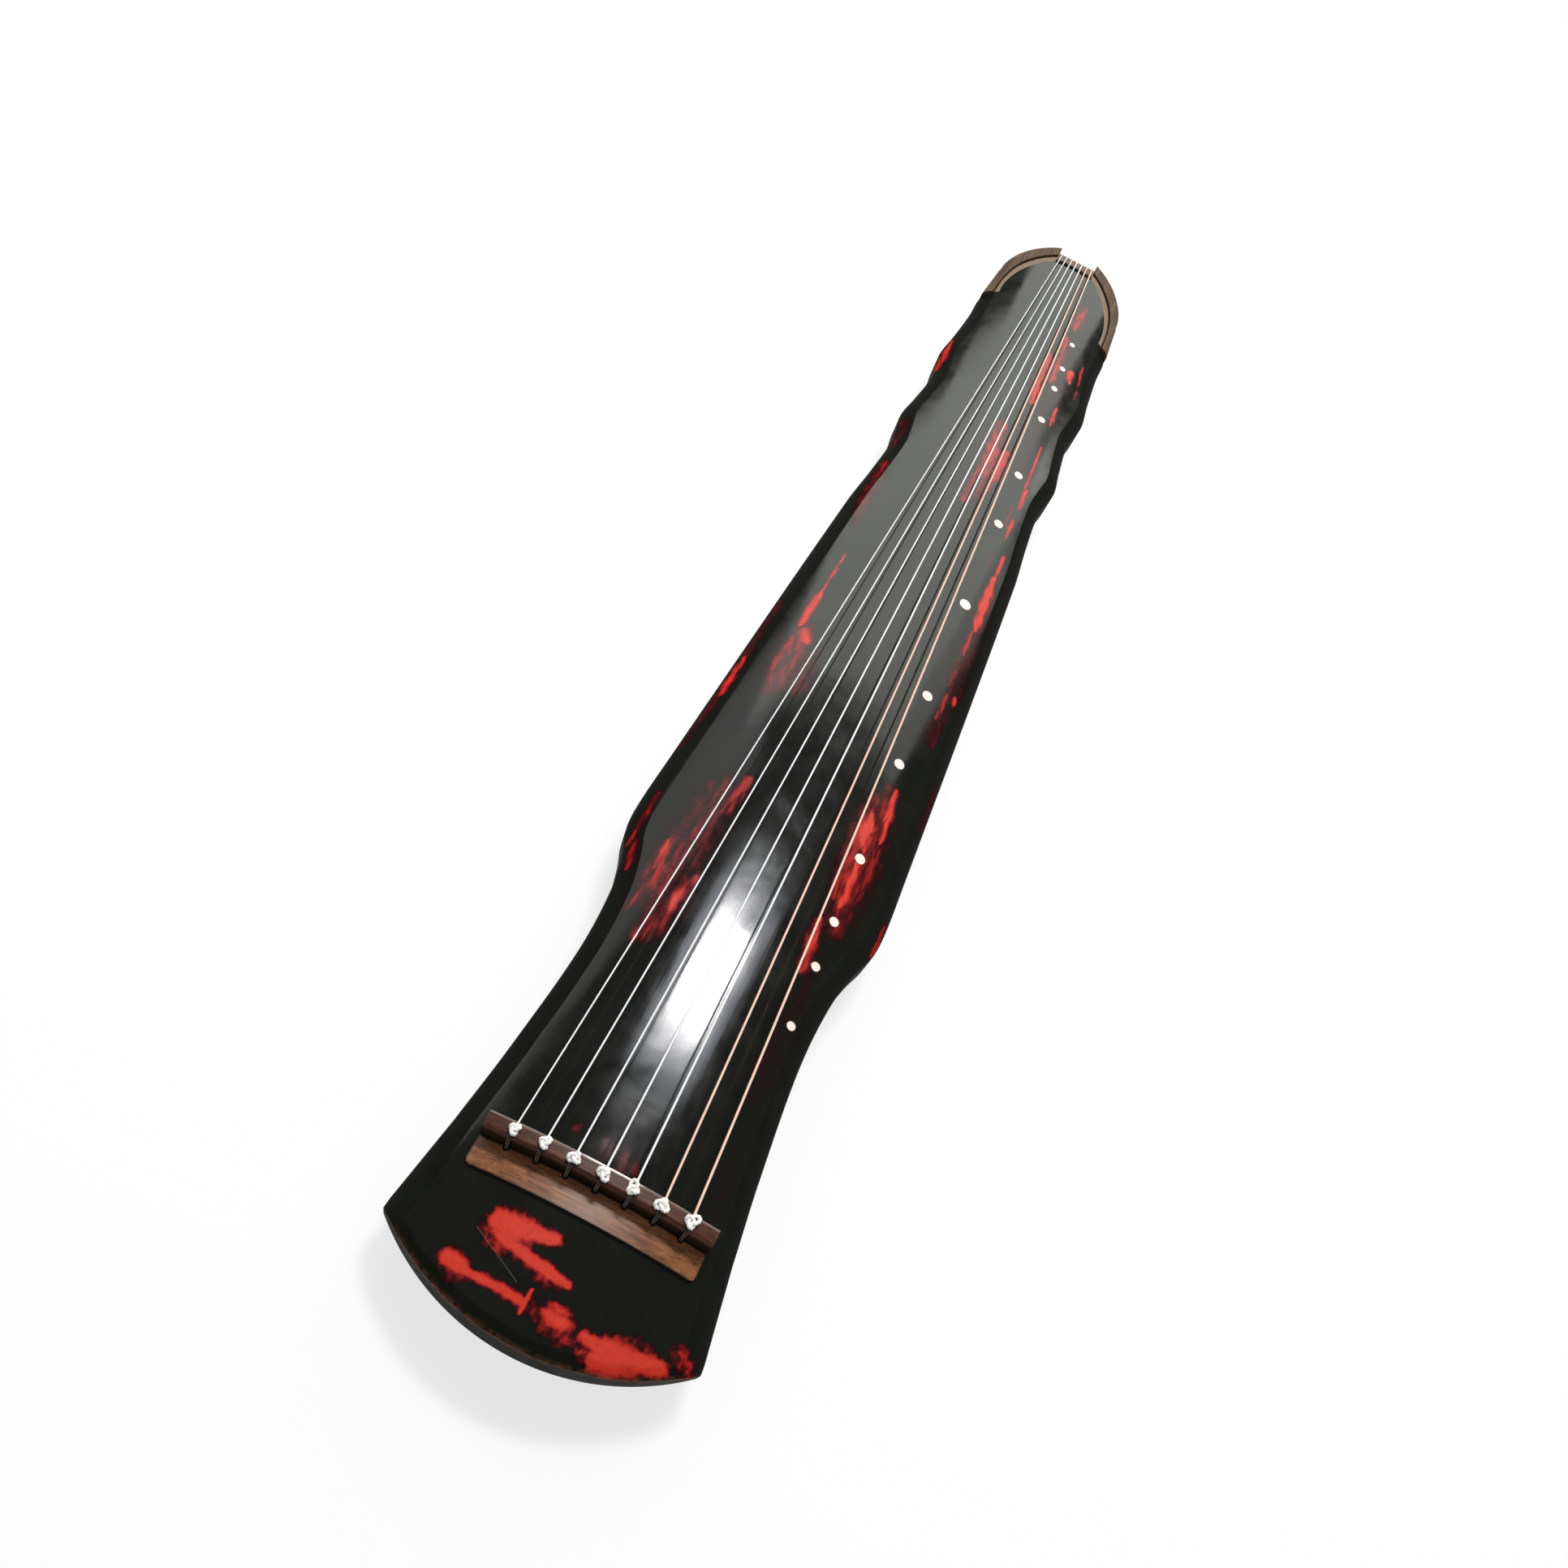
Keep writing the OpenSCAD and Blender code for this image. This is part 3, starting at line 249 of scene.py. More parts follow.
def black_lacquer(name, smoothest, dullest, level):
    """The rubbed lacquer, by its roughness where smoothest and dullest and by its specular level. Torn
    edges of the patches are 4 to 11 mm across; the streaks of the rubbing are 50 by 7 mm, with finer
    ones of 16 by 3 mm in them."""
    material, tree, mm, shader = fresh_material(name)
    torn = add(tree, "ShaderNodeTexNoise", {"Vector": mm, "Scale": 0.26, "Detail": 3.0, "Roughness": 0.5, "Distortion": 0.3})
    ragged = add(tree, "ShaderNodeTexNoise", {"Vector": mm, "Scale": 0.09, "Detail": 2.0})
    frayed = add(tree, "ShaderNodeMath", {0: torn.outputs[0], 1: 0.5, 2: add(tree, "ShaderNodeMath", {
        0: ragged.outputs[0], 1: 0.8, 2: -0.65}, operation="MULTIPLY_ADD").outputs[0]}, operation="MULTIPLY_ADD")
    cut = add(tree, "ShaderNodeAttribute", attribute_name="cut_through")
    lap = add(tree, "ShaderNodeMath", {0: frayed.outputs[0], 1: cut.outputs["Fac"]}, operation="ADD")
    full = add(tree, "ShaderNodeMapRange", {"Value": lap.outputs[0], "From Min": 0.14, "From Max": 0.86},
               interpolation_type="SMOOTHSTEP")
    patch = add(tree, "ShaderNodeMath", {0: full.outputs[0], 1: add(tree, "ShaderNodeMapRange", {
        "Value": cut.outputs["Fac"], "From Min": 0.03, "From Max": 0.2}).outputs[0]}, operation="MULTIPLY")
    long_streak = add(tree, "ShaderNodeTexNoise", {
        "Vector": add(tree, "ShaderNodeMapping", {"Vector": mm, "Scale": (0.02, 0.14, 0.14)}).outputs[0],
        "Scale": 1.0, "Detail": 2.0, "Roughness": 0.5, "Distortion": 0.8})
    fine_streak = add(tree, "ShaderNodeTexNoise", {
        "Vector": add(tree, "ShaderNodeMapping", {"Vector": mm, "Scale": (0.06, 0.3, 0.3)}).outputs[0],
        "Scale": 1.0, "Detail": 2.5, "Roughness": 0.5, "Distortion": 0.5})
    streak = add(tree, "ShaderNodeMath", {0: long_streak.outputs[0], 1: 0.55, 2: add(tree, "ShaderNodeMath", {
        0: fine_streak.outputs[0], 1: 0.45}, operation="MULTIPLY").outputs[0]}, operation="MULTIPLY_ADD")
    thin = add(tree, "ShaderNodeAttribute", attribute_name="rubbed_thin").outputs["Fac"]
    worn = add(tree, "ShaderNodeMath", {0: thin, 1: 0.16, 2: streak.outputs[0]}, operation="MULTIPLY_ADD")
    thinned = add(tree, "ShaderNodeMapRange", {"Value": worn.outputs[0], "From Min": 0.4, "From Max": 0.72,
                                               "To Min": 0.25, "To Max": 1.15}, interpolation_type="SMOOTHSTEP")
    glow = add(tree, "ShaderNodeMath", {0: thinned.outputs[0], 1: thin}, operation="MULTIPLY")
    bare = add(tree, "ShaderNodeMath", {0: patch.outputs[0], 1: glow.outputs[0]}, operation="MAXIMUM")
    cloud = add(tree, "ShaderNodeTexNoise", {"Vector": mm, "Scale": 0.03, "Detail": 4.0, "Roughness": 0.6, "Distortion": 0.6})
    black = add(tree, "ShaderNodeMix", {0: cloud.outputs[0], 6: paint("#0c0e0b"), 7: paint("#1d1f19")}, data_type="RGBA")
    red = add(tree, "ShaderNodeValToRGB", {"Fac": bare.outputs[0]})
    red.color_ramp.elements[0].position, red.color_ramp.elements[0].color = 0.06, paint("#170709")
    red.color_ramp.elements[1].position, red.color_ramp.elements[1].color = 0.98, paint("#d23a2a")
    red.color_ramp.elements.new(0.32).color = paint("#470c10")
    red.color_ramp.elements.new(0.66).color = paint("#a3211c")
    worked = add(tree, "ShaderNodeMath", {0: add(tree, "ShaderNodeMapRange", {
        "Value": torn.outputs[0], "From Min": 0.42, "From Max": 0.72, "To Max": 0.5}).outputs[0],
        1: bare.outputs[0]}, operation="MULTIPLY")
    uneven = add(tree, "ShaderNodeMix", {0: worked.outputs[0], 6: red.outputs[0], 7: paint("#b52a20")}, data_type="RGBA")
    deep = add(tree, "ShaderNodeMapRange", {"Value": bare.outputs[0], "From Min": 0.0, "From Max": 0.12})
    skin = add(tree, "ShaderNodeMix", {0: deep.outputs[0], 6: black.outputs[2], 7: uneven.outputs[2]}, data_type="RGBA")

    # Along the forehead's rim the black has chipped to the brown ground in a fine line, and one long
    # scratch crosses the head beside the patches.
    rim_line = add(tree, "ShaderNodeMath", {0: add(tree, "ShaderNodeAttribute", attribute_name="rim").outputs["Fac"],
                   1: add(tree, "ShaderNodeMapRange", {"Value": torn.outputs[0], "From Min": 0.35, "From Max": 0.6}).outputs[0]},
                   operation="MULTIPLY")
    chipped = add(tree, "ShaderNodeMix", {0: rim_line.outputs[0], 6: skin.outputs[2], 7: paint("#6e452c")}, data_type="RGBA")
    from_start = add(tree, "ShaderNodeVectorMath", {0: mm, 1: (582.8, -14.4, 0)}, operation="SUBTRACT")
    down_it = add(tree, "ShaderNodeVectorMath", {0: from_start.outputs[0], 1: (-0.421, -0.907, 0)}, operation="DOT_PRODUCT")
    off_it = add(tree, "ShaderNodeVectorMath", {0: from_start.outputs[0], 1: (0.907, -0.421, 0)}, operation="DOT_PRODUCT")
    near_it = add(tree, "ShaderNodeMapRange", {"Value": add(tree, "ShaderNodeMath", {0: off_it.outputs["Value"]},
                  operation="ABSOLUTE").outputs[0], "From Min": 0.08, "From Max": 0.36, "To Min": 0.22, "To Max": 0.0})
    between = add(tree, "ShaderNodeMath", {0: down_it.outputs["Value"], 1: 18.4, 2: 18.4}, operation="COMPARE")
    on_top = add(tree, "ShaderNodeMath", {0: add(tree, "ShaderNodeSeparateXYZ", {0: mm}).outputs[2], 1: 50.0}, operation="GREATER_THAN")
    scratch = add(tree, "ShaderNodeMath", {0: near_it.outputs[0], 1: add(tree, "ShaderNodeMath", {
        0: between.outputs[0], 1: on_top.outputs[0]}, operation="MULTIPLY").outputs[0]}, operation="MULTIPLY")
    scratched = add(tree, "ShaderNodeMix", {0: scratch.outputs[0], 6: chipped.outputs[2], 7: paint("#8f8d7c")}, data_type="RGBA")
    tree.links.new(scratched.outputs[2], shader.inputs["Base Color"])
    polish = add(tree, "ShaderNodeMapRange", {"Value": cloud.outputs[0], "From Min": 0.3, "From Max": 0.7,
                                              "To Min": smoothest, "To Max": dullest})
    dull = add(tree, "ShaderNodeMath", {0: bare.outputs[0], 1: 0.16, 2: polish.outputs[0]}, operation="MULTIPLY_ADD")
    tree.links.new(dull.outputs[0], shader.inputs["Roughness"])
    shader.inputs["Specular IOR Level"].default_value = level
    swell = add(tree, "ShaderNodeTexNoise", {"Vector": mm, "Scale": 0.032, "Detail": 1.0, "Roughness": 0.4, "Distortion": 0.5})
    brushed = add(tree, "ShaderNodeTexNoise", {
        "Vector": add(tree, "ShaderNodeMapping", {"Vector": mm, "Scale": (0.016, 0.5, 0.5)}).outputs[0],
        "Scale": 1.0, "Detail": 2.0, "Distortion": 0.4})
    hand = add(tree, "ShaderNodeBump", {"Height": swell.outputs[0], "Strength": 0.14, "Distance": 0.0008,
        "Normal": add(tree, "ShaderNodeBump", {"Height": brushed.outputs[0], "Strength": 0.6,
                                               "Distance": 0.00002}).outputs[0]})
    tree.links.new(hand.outputs[0], shader.inputs["Normal"])
    return material


lacquer = black_lacquer("rubbed_black_lacquer", 0.08, 0.16, 0.5)
edge_lacquer = black_lacquer("dull_black_lacquer", 0.5, 0.66, 0.02)

# The coat of lacquer over both boards, one skin over the arch, the rounded edges and the side walls.
# It stops at the tail trims and the nut, and leaves the rebate for the bridge open.
TRIM_FROM = 986.7
NUT_FROM = 1092.0
TRIM_ARC_U, TRIM_ARC_V, TRIM_ARC_R = 1004.7, -62.0, 120.8
COAT = 0.42


def shown_half(u):
    """Half width of the surface that the trims leave free: the outline up to the trims' start, then the
    line along that start, then the trims' inner arc."""
    arc = TRIM_ARC_V + np.sqrt(np.maximum(0, TRIM_ARC_R**2 - (u - TRIM_ARC_U) ** 2))
    start = np.interp(u, [TRIM_FROM, 996.27], [half_width(np.array([TRIM_FROM]))[0], 58.5])
    return np.where(u <= TRIM_FROM, half_width(u), np.where(u < 996.27, start, arc))


HEAD_ROWS = 80
steps = np.concatenate([
    HEAD_LINE - (1 - np.linspace(0, 1, HEAD_ROWS) ** 1.4) * (HEAD_LINE + HEAD_LEN),
    np.arange(-3, TRIM_FROM - 1, 2.2), [TRIM_FROM, 988, 990, 992, 994, 996.27], np.linspace(998, NUT_FROM, 36)])
edge_steps = np.array([0, 0.006, 0.025, 0.06, 0.11, 0.18, 0.27, 0.38, 0.5, 0.64, 0.8])
lateral = np.linspace(-1, 1, 97)
s = steps[:, None]
rim, free = half_width(s), shown_half(s)
flat_half = np.minimum(rim - EDGE_W, free)
left = -free + edge_steps[None, :] * (free - flat_half)
v = np.concatenate([left, lateral[None, :] * flat_half, -left[:, ::-1]], axis=1)
u = np.where(s < HEAD_LINE, HEAD_LINE + (forehead(v) - HEAD_LINE) * (HEAD_LINE - s) / (HEAD_LINE + HEAD_LEN), s + 0 * v)
top_points = in_row_frame(u, v, board_top(u, v, rim))
top_mesh = grid_mesh("coat_top", top_points)

tail_v = np.linspace(69.5, 21.5, 24)
tail_u = (TAIL_END - math.sqrt(88**2 - 39.5**2)) + np.sqrt(88**2 - (tail_v + 18) ** 2)
side_u = steps[HEAD_ROWS - 1:][steps[HEAD_ROWS - 1:] <= TRIM_FROM]
side_u = np.concatenate([side_u, np.linspace(990, 1112, 24)])
side_v = half_width(side_u)
tail_reach = (TAIL_END - math.sqrt(88**2 - 39.5**2)) + np.sqrt(np.maximum(0, 88**2 - (side_v + 18) ** 2))
stretch = (side_u - 1039.5) / (TAIL_END - 1039.5)
side_u = np.where(side_u > 1039.5, 1039.5 + (tail_reach - 1039.5) * np.clip(stretch, 0, 1), side_u)
head_side_u, head_side_v = u[:HEAD_ROWS, -1], v[:HEAD_ROWS, -1]
row_u = np.concatenate([tail_u[::-1], side_u[::-1], head_side_u[-2::-1], u[0, -2:0:-1], head_side_u[:-1], side_u, tail_u])
row_v = np.concatenate([tail_v[::-1], side_v[::-1], head_side_v[-2::-1], v[0, -2:0:-1], -head_side_v[:-1], -side_v, -tail_v])
row_w = np.abs(row_v).copy()
row_w[len(tail_u) + len(side_u) + HEAD_ROWS - 1:-(len(tail_u) + len(side_u) + HEAD_ROWS - 1)] = 100.0
wall_top = np.where(row_u > TRIM_FROM, 44.0, board_top(row_u, row_v, row_w))
levels = np.array([0, 0.02, 0.3, 0.6, 0.9, 1.0])
wall = in_row_frame(row_u[:, None], row_v[:, None], wall_top[:, None] + levels * (FLOOR_TO_BOARD - wall_top[:, None]))
wall_mesh = grid_mesh("coat_wall", wall, flip=True)
coat = joined("lacquer_coat", [top_mesh, wall_mesh], merge=0.00004, sharp=55)
place = np.empty(len(coat.vertices) * 3)
coat.vertices.foreach_get("co", place)
place = place.reshape(-1, 3)
facing = np.empty(len(coat.vertices) * 3)
coat.vertices.foreach_get("normal", facing)
place += facing.reshape(-1, 3) * COAT * MM
coat.vertices.foreach_set("co", place.ravel())
at_u, at_v, at_z = MID_U - place[:, 0] / MM, place[:, 1] / MM, place[:, 2] / MM
below = board_top(at_u, at_v, half_width(at_u)) - at_z
rim_wear = np.where(at_u < -50, np.exp(-(np.hypot(np.maximum(at_u - forehead(at_v), 0), below) / 1.0) ** 2), 0)
reached = np.exp(-(np.maximum(below - 1, 0) / 6) ** 2)
for name, values in (("cut_through", reached * rubbed_field(CUT_THROUGH, at_u, at_v, 0.8)),
                     ("rubbed_thin", reached * rubbed_field(RUBBED_THIN, at_u, at_v, 0.45)), ("rim", rim_wear)):
    coat.attributes.new(name, "FLOAT", "POINT").data.foreach_set("value", values)
work = bmesh.new()
work.from_mesh(coat)
under_bridge = [f for f in work.faces if -27.6 < MID_U - f.calc_center_median().x / MM < -0.4
                and abs(f.calc_center_median().y / MM) < 72 and f.calc_center_median().z > 0.06]
bmesh.ops.delete(work, geom=under_bridge, context="FACES")
for face in work.faces:
    middle = face.calc_center_median() / MM
    along, out = MID_U - middle.x, abs(middle.y)
    face.material_index = int(middle.z < 44 or out > half_width(along) - EDGE_W or along < forehead(out) + 6)
work.to_mesh(coat)
work.free()
piece("lacquer_coat", coat, lacquer).data.materials.append(edge_lacquer)
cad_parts["bottom_board"].material_slots[0].material = edge_lacquer

# Thirteen studs of mother-of-pearl, turned discs let into the board at the simple divisions of the
# string, the seventh the largest. Each is bedded in red-brown lacquer that shows as a fine ring.
STUD_AT = np.array([1 / 8, 1 / 6, 1 / 5, 1 / 4, 1 / 3, 2 / 5, 1 / 2, 3 / 5, 2 / 3, 3 / 4, 4 / 5, 5 / 6, 7 / 8])
STUD_SIZE = 10.2 * np.array([1, 0.85, 0.81, 0.76, 0.68, 0.63, 0.59])
BED = 0.55

pearl, tree, mm, shader = fresh_material("polished_mother_of_pearl")
bed = add(tree, "ShaderNodeAttribute", attribute_name="bed")
layers = add(tree, "ShaderNodeTexNoise", {"Vector": mm, "Scale": 0.33, "Detail": 3.0, "Distortion": 1.2})
cream = add(tree, "ShaderNodeMix", {0: layers.outputs[0], 6: paint("#ecdfcd"), 7: paint("#fbf3e8")}, data_type="RGBA")
ringed = add(tree, "ShaderNodeMix", {0: bed.outputs["Fac"], 6: cream.outputs[2], 7: paint("#4a120e")}, data_type="RGBA")
tree.links.new(ringed.outputs[2], shader.inputs["Base Color"])
shader.inputs["Roughness"].default_value = 0.22
shader.inputs["Coat Weight"].default_value = 0.3

for number, share in enumerate(STUD_AT, 1):
    middle_u = share * STRING_LEN
    middle_v = 55.2 + (18.3 - 55.2) * share + 11.9
    radius = STUD_SIZE[abs(number - 7)] / 2
    reach = np.array([0, 0.3, 0.6, 0.8, 0.92, 1.0]) * radius
    reach = np.append(reach, [radius + 0.05, radius + BED, radius + BED + 0.25])[:, None]
    height = np.array([0.16, 0.15, 0.11, 0.07, 0.04, 0.01, 0.03, 0.03, -0.4])[:, None]
    turn = np.linspace(0, 2 * np.pi, 48, endpoint=False)[None, :]
    u, v = middle_u + reach * np.cos(turn), middle_v + reach * np.sin(turn)
    disc = grid_mesh("stud", in_row_frame(u, v, arch(u, v) + COAT + height + 0 * turn), close_v=True)
    disc = joined(f"stud_{number}_shell", [disc], merge=0.00001)
    place = np.empty(len(disc.vertices) * 3)
    disc.vertices.foreach_get("co", place)
    from_middle = np.hypot(MID_U - place[0::3] / MM - middle_u, place[1::3] / MM - middle_v)
    disc.attributes.new("bed", "FLOAT", "POINT").data.foreach_set("value", (from_middle > radius + 0.02).astype(float))
    piece(f"stud_{number}_shell", disc, pearl, replaces=[f"stud_{number}"])

# The bridge and the strip behind it with the seven cord holes: rosewood, planed, set in one rebate and
# rubbed with wax. The bridge is the darker, redder piece; its string edge has worn pale and carries a painted
# highlight, and its flanks and the strip beside them carry painted shade.
def rosewood(name, dark, middle, light, turned, roughness, polish=0.0, level=0.5, shade=None):
    """A rosewood: long fibres stretched along the grain, darker growth bands, and short dark pores.
    Growth bands are about 4 mm apart, pores 7 mm long by 0.3 mm. shade adds marks to the colour: wear,
    old lacquer, and painted highlights and shade."""
    material, tree, mm, shader = fresh_material(name)
    lie = add(tree, "ShaderNodeMapping", {"Vector": mm, "Rotation": (0, 0, math.radians(turned))})
    fibre = add(tree, "ShaderNodeTexNoise", {
        "Vector": add(tree, "ShaderNodeMapping", {"Vector": lie.outputs[0], "Scale": (0.018, 1.1, 1.1)}).outputs[0],
        "Scale": 1.0, "Detail": 6.0, "Roughness": 0.65, "Distortion": 0.25})
    bands = add(tree, "ShaderNodeTexNoise", {
        "Vector": add(tree, "ShaderNodeMapping", {"Vector": lie.outputs[0], "Scale": (0.008, 0.28, 0.28)}).outputs[0],
        "Scale": 1.0, "Detail": 3.0, "Roughness": 0.5, "Distortion": 0.6})
    pores = add(tree, "ShaderNodeTexNoise", {
        "Vector": add(tree, "ShaderNodeMapping", {"Vector": lie.outputs[0], "Scale": (0.14, 3.2, 3.2)}).outputs[0],
        "Scale": 1.0, "Detail": 2.0})
    tone = add(tree, "ShaderNodeValToRGB", {"Fac": add(tree, "ShaderNodeMath", {
        0: fibre.outputs[0], 1: 0.62, 2: add(tree, "ShaderNodeMath", {0: bands.outputs[0], 1: 0.5},
                                             operation="MULTIPLY").outputs[0]}, operation="MULTIPLY_ADD").outputs[0]})
    tone.color_ramp.elements[0].position, tone.color_ramp.elements[0].color = 0.38, paint(dark)
    tone.color_ramp.elements[1].position, tone.color_ramp.elements[1].color = 0.74, paint(light)
    tone.color_ramp.elements.new(0.56).color = paint(middle)
    pit = add(tree, "ShaderNodeMapRange", {"Value": pores.outputs[0], "From Min": 0.6, "From Max": 0.7})
    shown = add(tree, "ShaderNodeMix", {0: add(tree, "ShaderNodeMath", {0: pit.outputs[0], 1: 0.6},
                operation="MULTIPLY").outputs[0], 6: tone.outputs[0], 7: paint(dark)}, data_type="RGBA")
    colour = shade(tree, mm, shown.outputs[2]) if shade else shown.outputs[2]
    tree.links.new(colour, shader.inputs["Base Color"])
    gloss = add(tree, "ShaderNodeMapRange", {"Value": fibre.outputs[0], "To Min": roughness - 0.1, "To Max": roughness + 0.12})
    tree.links.new(gloss.outputs[0], shader.inputs["Roughness"])
    shader.inputs["Specular IOR Level"].default_value = level
    shader.inputs["Coat Weight"].default_value = polish
    shader.inputs["Coat Roughness"].default_value = 0.25
    raised = add(tree, "ShaderNodeMath", {0: fibre.outputs[0], 1: 0.5, 2: add(tree, "ShaderNodeMath", {
        0: pit.outputs[0], 1: -0.6}, operation="MULTIPLY").outputs[0]}, operation="MULTIPLY_ADD")
    relief = add(tree, "ShaderNodeBump", {"Height": raised.outputs[0], "Strength": 0.35, "Distance": 0.0002})
    tree.links.new(relief.outputs[0], shader.inputs["Normal"])
    return material


def bridge_wear_and_painted_light(tree, mm, colour):
    """The bridge's string edge is worn pale and carries a painted highlight, most between the third and fifth
    strings, and its flanks below the top are darkened with painted shade. Heights are taken from the arch
    that crests at 88 mm."""
    x, y, z = add(tree, "ShaderNodeSeparateXYZ", {0: mm}).outputs
    fall = add(tree, "ShaderNodeMath", {0: y, 1: y}, operation="MULTIPLY")
    level = add(tree, "ShaderNodeMath", {0: fall.outputs[0], 1: 1 / 660, 2: z}, operation="MULTIPLY_ADD")
    # Painted shade: the flanks below the bridge's top are darkened towards the strip.
    flank_shade_mask = add(tree, "ShaderNodeMapRange", {"Value": level.outputs[0], "From Min": 82.4, "From Max": 85.0,
                                             "To Min": 0.9, "To Max": 0.0})
    flank_painted_shade = add(tree, "ShaderNodeMix", {0: flank_shade_mask.outputs[0], 6: colour, 7: paint("#150b08")}, data_type="RGBA")
    # Painted highlight: a near white line along the worn string edge, strongest near the middle strings.
    edge = add(tree, "ShaderNodeMapRange", {"Value": x, "From Min": 513.6, "From Max": 514.6, "To Min": 1.0, "To Max": 0.0})
    high = add(tree, "ShaderNodeMapRange", {"Value": level.outputs[0], "From Min": 86.4, "From Max": 87.0})
    off_middle = add(tree, "ShaderNodeMath", {0: add(tree, "ShaderNodeMath", {0: y, 1: 3.0},
                     operation="SUBTRACT").outputs[0]}, operation="ABSOLUTE")
    fade = add(tree, "ShaderNodeMapRange", {"Value": off_middle.outputs[0], "From Min": 13.0, "From Max": 21.0,
                                            "To Min": 1.0, "To Max": 0.16})
    both = add(tree, "ShaderNodeMath", {0: edge.outputs[0], 1: high.outputs[0]}, operation="MULTIPLY")
    worn = add(tree, "ShaderNodeMath", {0: both.outputs[0], 1: fade.outputs[0]}, operation="MULTIPLY")
    return add(tree, "ShaderNodeMix", {0: worn.outputs[0], 6: flank_painted_shade.outputs[2], 7: paint("#f2e9e4")},
               data_type="RGBA").outputs[2]


def strip_lacquer_and_painted_shade(tree, mm, colour):
    """Painted shade lies dark along the strip's three open edges, in a line half a millimetre wide. Next to
    the bridge the strip is black with old lacquer and painted shade, and 1.6 mm further at each of the cords,
    where painted shade marks the cord holes."""
    x, y, z = add(tree, "ShaderNodeSeparateXYZ", {0: mm}).outputs
    # Painted shade: a dark line along the strip's three open edges.
    wide = add(tree, "ShaderNodeMapRange", {"Value": add(tree, "ShaderNodeMath", {0: y}, operation="ABSOLUTE").outputs[0],
                                            "From Min": 71.4, "From Max": 72.2, "To Max": 0.75})
    far = add(tree, "ShaderNodeMapRange", {"Value": x, "From Min": 539.4, "From Max": 540.2, "To Max": 0.75})
    line = add(tree, "ShaderNodeMath", {0: wide.outputs[0], 1: far.outputs[0]}, operation="MAXIMUM")
    # Old lacquer and painted shade beside the bridge, with notches of painted shade at the cord holes.
    comb = add(tree, "ShaderNodeMath", {0: add(tree, "ShaderNodeMath", {0: y, 1: 2 * math.pi / 18.4},
               operation="MULTIPLY").outputs[0]}, operation="COSINE")
    notch = add(tree, "ShaderNodeMapRange", {"Value": comb.outputs[0], "From Min": 0.72, "From Max": 0.9, "To Max": 1.6})
    reach = add(tree, "ShaderNodeMath", {0: x, 1: notch.outputs[0]}, operation="SUBTRACT")
    lacquer_and_shade_band = add(tree, "ShaderNodeMapRange", {"Value": reach.outputs[0], "From Min": 523.8, "From Max": 524.6,
                                              "To Min": 0.96, "To Max": 0.0})
    both = add(tree, "ShaderNodeMath", {0: line.outputs[0], 1: lacquer_and_shade_band.outputs[0]}, operation="MAXIMUM")
    return add(tree, "ShaderNodeMix", {0: both.outputs[0], 6: colour, 7: paint("#110a07")}, data_type="RGBA").outputs[2]


bridge_wood = rosewood("waxed_dark_rosewood", "#22110a", "#4a2817", "#6a3d24", 90, 0.42, level=0.3, shade=bridge_wear_and_painted_light)
strip_wood = rosewood("waxed_brown_rosewood", "#552f17", "#85512d", "#ad7443", 90, 0.3, polish=0.8, shade=strip_lacquer_and_painted_shade)
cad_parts["bridge"].material_slots[0].material = bridge_wood
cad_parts["cord_hole_strip"].material_slots[0].material = strip_wood

# The tail trims, one on each side of the nut: a strip of greyish rosewood bent along the tail, scraped to
# a thin inner bead, a groove, and a broad raised outer band that covers the end grain of the boards.
TAIL_ARC_R, TAIL_ARC_V = 88.0, -18.0
TAIL_ARC_U = TAIL_END - math.sqrt(TAIL_ARC_R**2 - (21.5 - TAIL_ARC_V) ** 2)
TRIM_PROFILE = np.array([
    (0, -22), (0, 0.1), (0.015, 0.38), (0.06, 0.5), (0.15, 0.55), (0.24, 0.5), (0.28, 0.36), (0.3, 0.1),
    (0.315, -0.6), (0.34, -0.66), (0.365, -0.6), (0.38, 0.6), (0.395, 1.35), (0.42, 1.62), (0.5, 1.88),
    (0.62, 2.0), (0.74, 1.98), (0.84, 1.8), (0.9, 1.5), (0.95, 0.95), (0.98, 0.2), (1, -1.4), (1, -22)])


